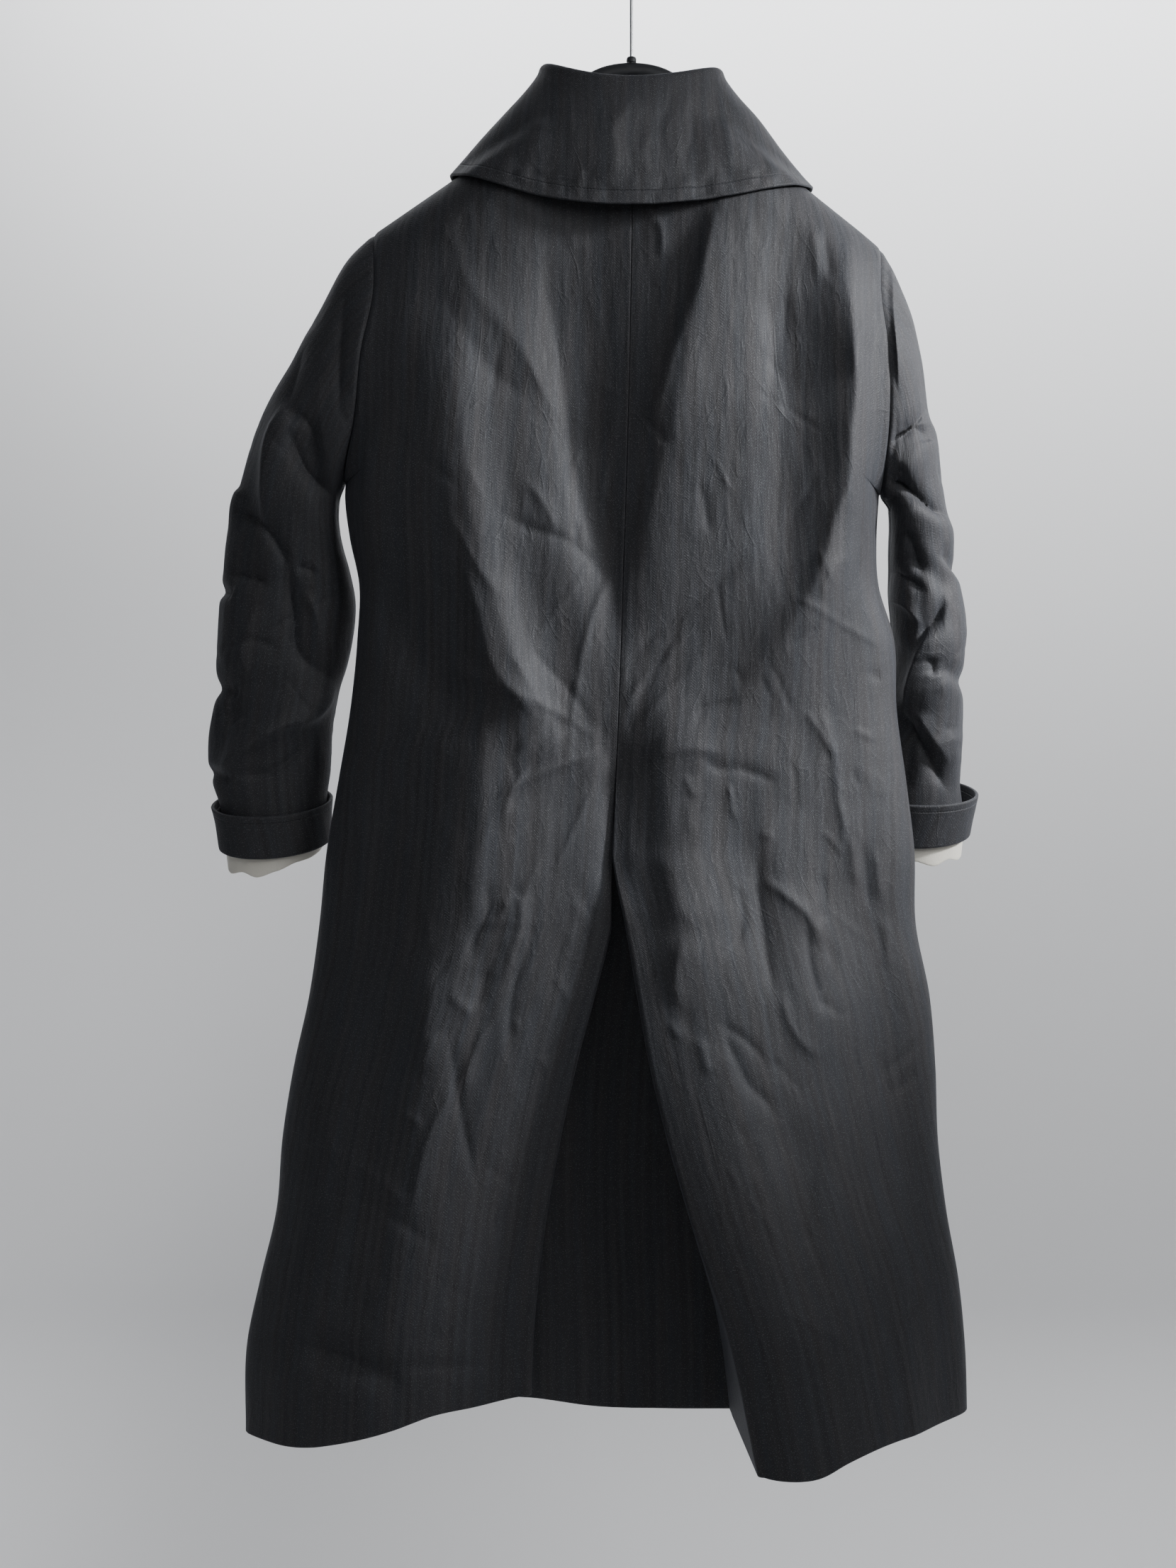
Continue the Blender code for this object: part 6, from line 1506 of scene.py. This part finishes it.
def noise(tree, vector, scale, detail=2.0, roughness=0.5):
    """Noise that comes so many times a metre each way."""
    place = node(tree, "VectorMath", operation="MULTIPLY", _0=vector, _1=scale).outputs[0]
    made = node(tree, "TexNoise", Vector=place, Scale=1.0, Detail=detail, Roughness=roughness)
    return made.outputs["Fac"]


def spread_out(tree, value, low, high, to_low=0.0, to_high=1.0):
    """Maps a value's range to another."""
    return node(tree, "MapRange", _0=value, _1=low, _2=high, _3=to_low, _4=to_high).outputs[0]


def maths(tree, operation, first, second=0.0, third=0.0):
    """The result of one operation on values."""
    return node(tree, "Math", operation=operation, _0=first, _1=second, _2=third).outputs[0]


def blend(tree, share, first, second, way="MIX"):
    """A colour between two, or their product."""
    made = node(tree, "Mix", data_type="RGBA", blend_type=way, _0=share, _6=first, _7=second)
    return made.outputs[2]


def finish_look(tree, shader, base, rough, relief=None, strength=0.0, distance=0.0):
    """Gives a shader its colour, its roughness and its fine relief."""
    tree.links.new(base, shader.inputs["Base Color"])
    tree.links.new(rough, shader.inputs["Roughness"])
    if relief is not None:
        bump = node(tree, "Bump", Strength=strength, Distance=distance, Height=relief)
        tree.links.new(bump.outputs[0], shader.inputs["Normal"])


def coat_look():
    """Charcoal crushed herringbone with slubs, streaks along the warp and light flecks."""
    material, tree, shader = look_named("Coat cloth", (0.030, 0.031, 0.036))
    threads = node(tree, "UVMap", uv_map="threads").outputs[0]
    edge = node(tree, "Attribute", attribute_name="edge").outputs["Fac"]
    stitch = maths(tree, "ABSOLUTE", node(tree, "Attribute", attribute_name="stitch").outputs["Fac"])
    across, along = node(tree, "SeparateXYZ", Vector=threads).outputs[:2]
    streak = noise(tree, threads, (170.0, 4.0, 1.0), 3.0, 0.6)
    tint = noise(tree, threads, (95.0, 7.0, 1.0), 2.0, 0.5)
    slub = noise(tree, threads, (620.0, 34.0, 1.0), 4.0, 0.6)
    patch = noise(tree, threads, (22.0, 13.0, 1.0), 4.0, 0.6)
    grain = noise(tree, threads, (1300.0, 1000.0, 1.0), 2.0, 0.7)
    fleck = spread_out(tree, noise(tree, threads, (1000.0, 900.0, 1.0), 0.0, 0.5), 0.64, 0.74)
    ripple = noise(tree, threads, (105.0, 30.0, 1.0), 3.0, 0.5)
    zigzag = maths(tree, "ADD", maths(tree, "PINGPONG", across, TWILL_COLUMN), along)
    twill = maths(tree, "SINE", maths(tree, "MULTIPLY", zigzag, 2 * math.pi / TWILL_PITCH))
    stripe = maths(tree, "SINE", maths(tree, "MULTIPLY", across, math.pi / TWILL_COLUMN))
    groove = spread_out(tree, stitch, 0.0, STITCH_GROOVE, 1.0, 0.0)
    thread = maths(tree, "SINE", maths(tree, "MULTIPLY", across, 2 * math.pi / STITCH_LENGTH))
    thread = spread_out(tree, thread, -0.4, 0.2)
    thread = maths(tree, "MULTIPLY", spread_out(tree, stitch, 0.0002, 0.0004, 1.0, 0.0), thread)
    crush = 0.0
    for lines in CRUSH:
        laid = node(tree, "VectorRotate", rotation_type="Z_AXIS", Vector=threads, Angle=lines.turn).outputs[0]
        off = noise(tree, laid, (lines.across, lines.along, 1.0), 1.0, 0.4)
        off = maths(tree, "ABSOLUTE", maths(tree, "SUBTRACT", off, 0.5))
        ridge = spread_out(tree, off, 0.0, lines.width, 1.0, 0.0)
        shown = noise(tree, laid, (lines.across / 2, lines.along, 1.0), 1.0, 0.5)
        crush = maths(tree, "MULTIPLY_ADD", ridge, spread_out(tree, shown, 0.47, 0.74, 0.0, 0.30), crush)
    tone = maths(tree, "MULTIPLY_ADD", slub, 0.42, maths(tree, "MULTIPLY_ADD", streak, 0.52, 0.03))
    tone = maths(tree, "MULTIPLY_ADD", twill, 0.045, tone)
    tone = maths(tree, "MULTIPLY_ADD", maths(tree, "MULTIPLY", stripe, tint), 0.085, tone)
    tone = maths(tree, "MULTIPLY_ADD", grain, 0.70, maths(tree, "SUBTRACT", tone, 0.355))
    tone = spread_out(tree, tone, 0.22, 0.78)
    base = blend(tree, tone, YARN_DARK, YARN_LIGHT)
    tinted = blend(tree, spread_out(tree, tint, 0.35, 0.65), COOL_TINT, WARM_TINT)
    base = blend(tree, 1.0, base, tinted, "MULTIPLY")
    base = blend(tree, spread_out(tree, patch, 0.35, 0.75, 0.0, 0.35), base, DULL_PATCH)
    base = blend(tree, maths(tree, "MULTIPLY", fleck, 0.42), base, FLECK_COLOUR)
    base = blend(tree, spread_out(tree, edge, 0.0, WORN_EDGE, 0.30, 0.0), base, WORN_COLOUR)
    base = blend(tree, maths(tree, "MULTIPLY", thread, 0.4), base, STITCH_COLOUR)
    relief = maths(tree, "MULTIPLY_ADD", groove, -1.0, crush)
    for part, share in ((thread, 0.5), (ripple, 1.2), (slub, 0.30), (grain, 0.22), (twill, 0.05)):
        relief = maths(tree, "MULTIPLY_ADD", part, share, relief)
    shader.inputs["Sheen Weight"].default_value = 0.10
    shader.inputs["Sheen Roughness"].default_value = 0.45
    shader.inputs["Sheen Tint"].default_value = (0.80, 0.86, 1.0, 1.0)
    finish_look(tree, shader, base, spread_out(tree, slub, 0.2, 0.8, 0.58, 0.80), relief, 0.8, 0.0008)
    return material


def lining_look():
    """Smooth cream lining with a fine weave."""
    material, tree, shader = look_named("Sleeve lining", (0.74, 0.70, 0.60))
    threads = node(tree, "UVMap", uv_map="threads").outputs[0]
    weave = noise(tree, threads, (900.0, 900.0, 1.0), 2.0, 0.5)
    patch = noise(tree, threads, (40.0, 90.0, 1.0), 2.0, 0.5)
    base = blend(tree, patch, (0.90, 0.87, 0.78, 1.0), (0.82, 0.78, 0.68, 1.0))
    relief = maths(tree, "MULTIPLY_ADD", patch, 2.0, weave)
    finish_look(tree, shader, base, spread_out(tree, weave, 0.3, 0.7, 0.42, 0.58), relief, 0.4, 0.0004)
    return material


def plastic_look():
    """Black hanger plastic with a fine satin grain and light scuffs."""
    material, tree, shader = look_named("Black plastic", (0.018, 0.019, 0.021))
    place = node(tree, "TexCoord").outputs["Object"]
    grain = noise(tree, place, (900.0, 900.0, 900.0), 2.0, 0.5)
    scuff = noise(tree, place, (60.0, 200.0, 200.0), 3.0, 0.6)
    light = spread_out(tree, scuff, 0.5, 0.8)
    base = blend(tree, light, (0.020, 0.021, 0.024, 1.0), (0.040, 0.042, 0.046, 1.0))
    finish_look(tree, shader, base, spread_out(tree, scuff, 0.3, 0.7, 0.36, 0.55), grain, 0.3, 0.0002)
    return material


def steel_look():
    """Drawn steel wire with fine marks along it."""
    material, tree, shader = look_named("Steel wire", (0.62, 0.63, 0.65))
    marks = noise(tree, node(tree, "TexCoord").outputs["Object"], (1500.0, 1500.0, 60.0), 2.0, 0.6)
    base = blend(tree, marks, (0.52, 0.53, 0.55, 1.0), (0.70, 0.71, 0.73, 1.0))
    shader.inputs["Metallic"].default_value = 1.0
    finish_look(tree, shader, base, spread_out(tree, marks, 0.3, 0.7, 0.20, 0.36))
    return material


def horn_look():
    """Dark horn of the buttons, faintly mottled."""
    material, tree, shader = look_named("Button horn", (0.020, 0.018, 0.017))
    mottle = noise(tree, node(tree, "TexCoord").outputs["Object"], (160.0, 160.0, 60.0), 4.0, 0.6)
    light = spread_out(tree, mottle, 0.4, 0.7)
    base = blend(tree, light, (0.014, 0.012, 0.011, 1.0), (0.055, 0.046, 0.038, 1.0))
    finish_look(tree, shader, base, spread_out(tree, mottle, 0.3, 0.7, 0.25, 0.38))
    return material


def wall_look():
    """Matt pale paint of the wall and floor."""
    material, tree, shader = look_named("Pale backdrop", (0.78, 0.78, 0.79))
    mottle = noise(tree, node(tree, "TexCoord").outputs["Object"], (3.0, 3.0, 3.0), 2.0, 0.5)
    base = blend(tree, mottle, (0.77, 0.77, 0.78, 1.0), (0.80, 0.80, 0.81, 1.0))
    finish_look(tree, shader, base, spread_out(tree, mottle, 0.3, 0.7, 0.85, 0.95))
    return material


def build_backdrop(look):
    """One pale sheet: a floor that sweeps up into the wall."""
    route = [(FLOOR_START_Y, FLOOR_Z)]
    for angle in np.linspace(0.0, math.pi / 2, WALL_BEND_STEPS):
        y = WALL_Y - WALL_BEND * (1 - math.sin(angle))
        route.append((y, FLOOR_Z + WALL_BEND * (1 - math.cos(angle))))
    route.append((WALL_Y, WALL_TOP_Z))
    steps = len(route) - 1
    shape = bmesh.new()
    bmesh.ops.create_grid(shape, x_segments=2, y_segments=steps, size=0.5)
    for vertex in shape.verts:
        y, z = route[round((vertex.co.y + 0.5) * steps)]
        vertex.co = (vertex.co.x * WALL_WIDTH, y, z)
    mesh = mesh_of("backdrop", shape)
    mesh.materials.append(look)
    mesh.shade_smooth()
    backdrop = bpy.data.objects.new("backdrop", mesh)
    bpy.context.scene.collection.objects.link(backdrop)


def aim_at(light, place, aim):
    """Stands a light at a place and turns it towards another."""
    light.location = place
    way = np.array(aim) - np.array(place)
    flat = math.hypot(way[0], way[1])
    light.rotation_euler = (math.atan2(flat, -way[2]), 0.0, math.atan2(-way[0], way[1]))


def area_light(light):
    """A soft rectangular light that the camera doesn't see."""
    data = bpy.data.lights.new(light.name, "AREA")
    data.shape = "RECTANGLE"
    data.size = light.width
    data.size_y = light.height
    data.energy = light.power
    data.spread = math.radians(light.spread)
    data.color = light.colour
    lamp = bpy.data.objects.new(light.name, data)
    bpy.context.scene.collection.objects.link(lamp)
    lamp.visible_camera = False
    aim_at(lamp, light.place, light.aim)


def window_light():
    """The window's light, a soft cone from the right that ends above the coat's hem."""
    data = bpy.data.lights.new("window", "SPOT")
    data.energy = WINDOW_POWER
    data.shadow_soft_size = WINDOW_RADIUS
    data.spot_size = WINDOW_CONE
    data.spot_blend = WINDOW_BLEND
    data.color = WINDOW_COLOUR
    window = bpy.data.objects.new("window", data)
    bpy.context.scene.collection.objects.link(window)
    aim_at(window, WINDOW_AT, WINDOW_AIM)


def build_studio():
    """The lights, the air's faint glow and the camera."""
    window_light()
    for light in SOFT_LIGHTS:
        area_light(light)
    world = bpy.data.worlds.new("studio air")
    bpy.context.scene.world = world
    world.use_nodes = True
    air = world.node_tree.nodes["Background"]
    air.inputs["Color"].default_value = AIR_COLOUR
    air.inputs["Strength"].default_value = AIR_STRENGTH
    data = bpy.data.cameras.new("camera")
    data.sensor_fit = "VERTICAL"
    data.sensor_height = CAMERA_SENSOR
    data.lens = CAMERA_LENS
    camera = bpy.data.objects.new("camera", data)
    bpy.context.scene.collection.objects.link(camera)
    camera.location = CAMERA_AT
    camera.rotation_euler = (math.pi / 2, 0.0, 0.0)
    bpy.context.scene.camera = camera


def main():
    """Builds every piece, then the studio round them."""
    coat = coat_look()
    plastic = plastic_look()
    build_body(coat)
    build_underlay(coat)
    build_sleeves(coat)
    build_cuffs(coat, lining_look())
    build_collar(coat)
    build_hanger(plastic)
    build_hook(steel_look())
    build_ferrule(plastic)
    build_buttons(horn_look())
    build_backdrop(wall_look())
    build_studio()


main()
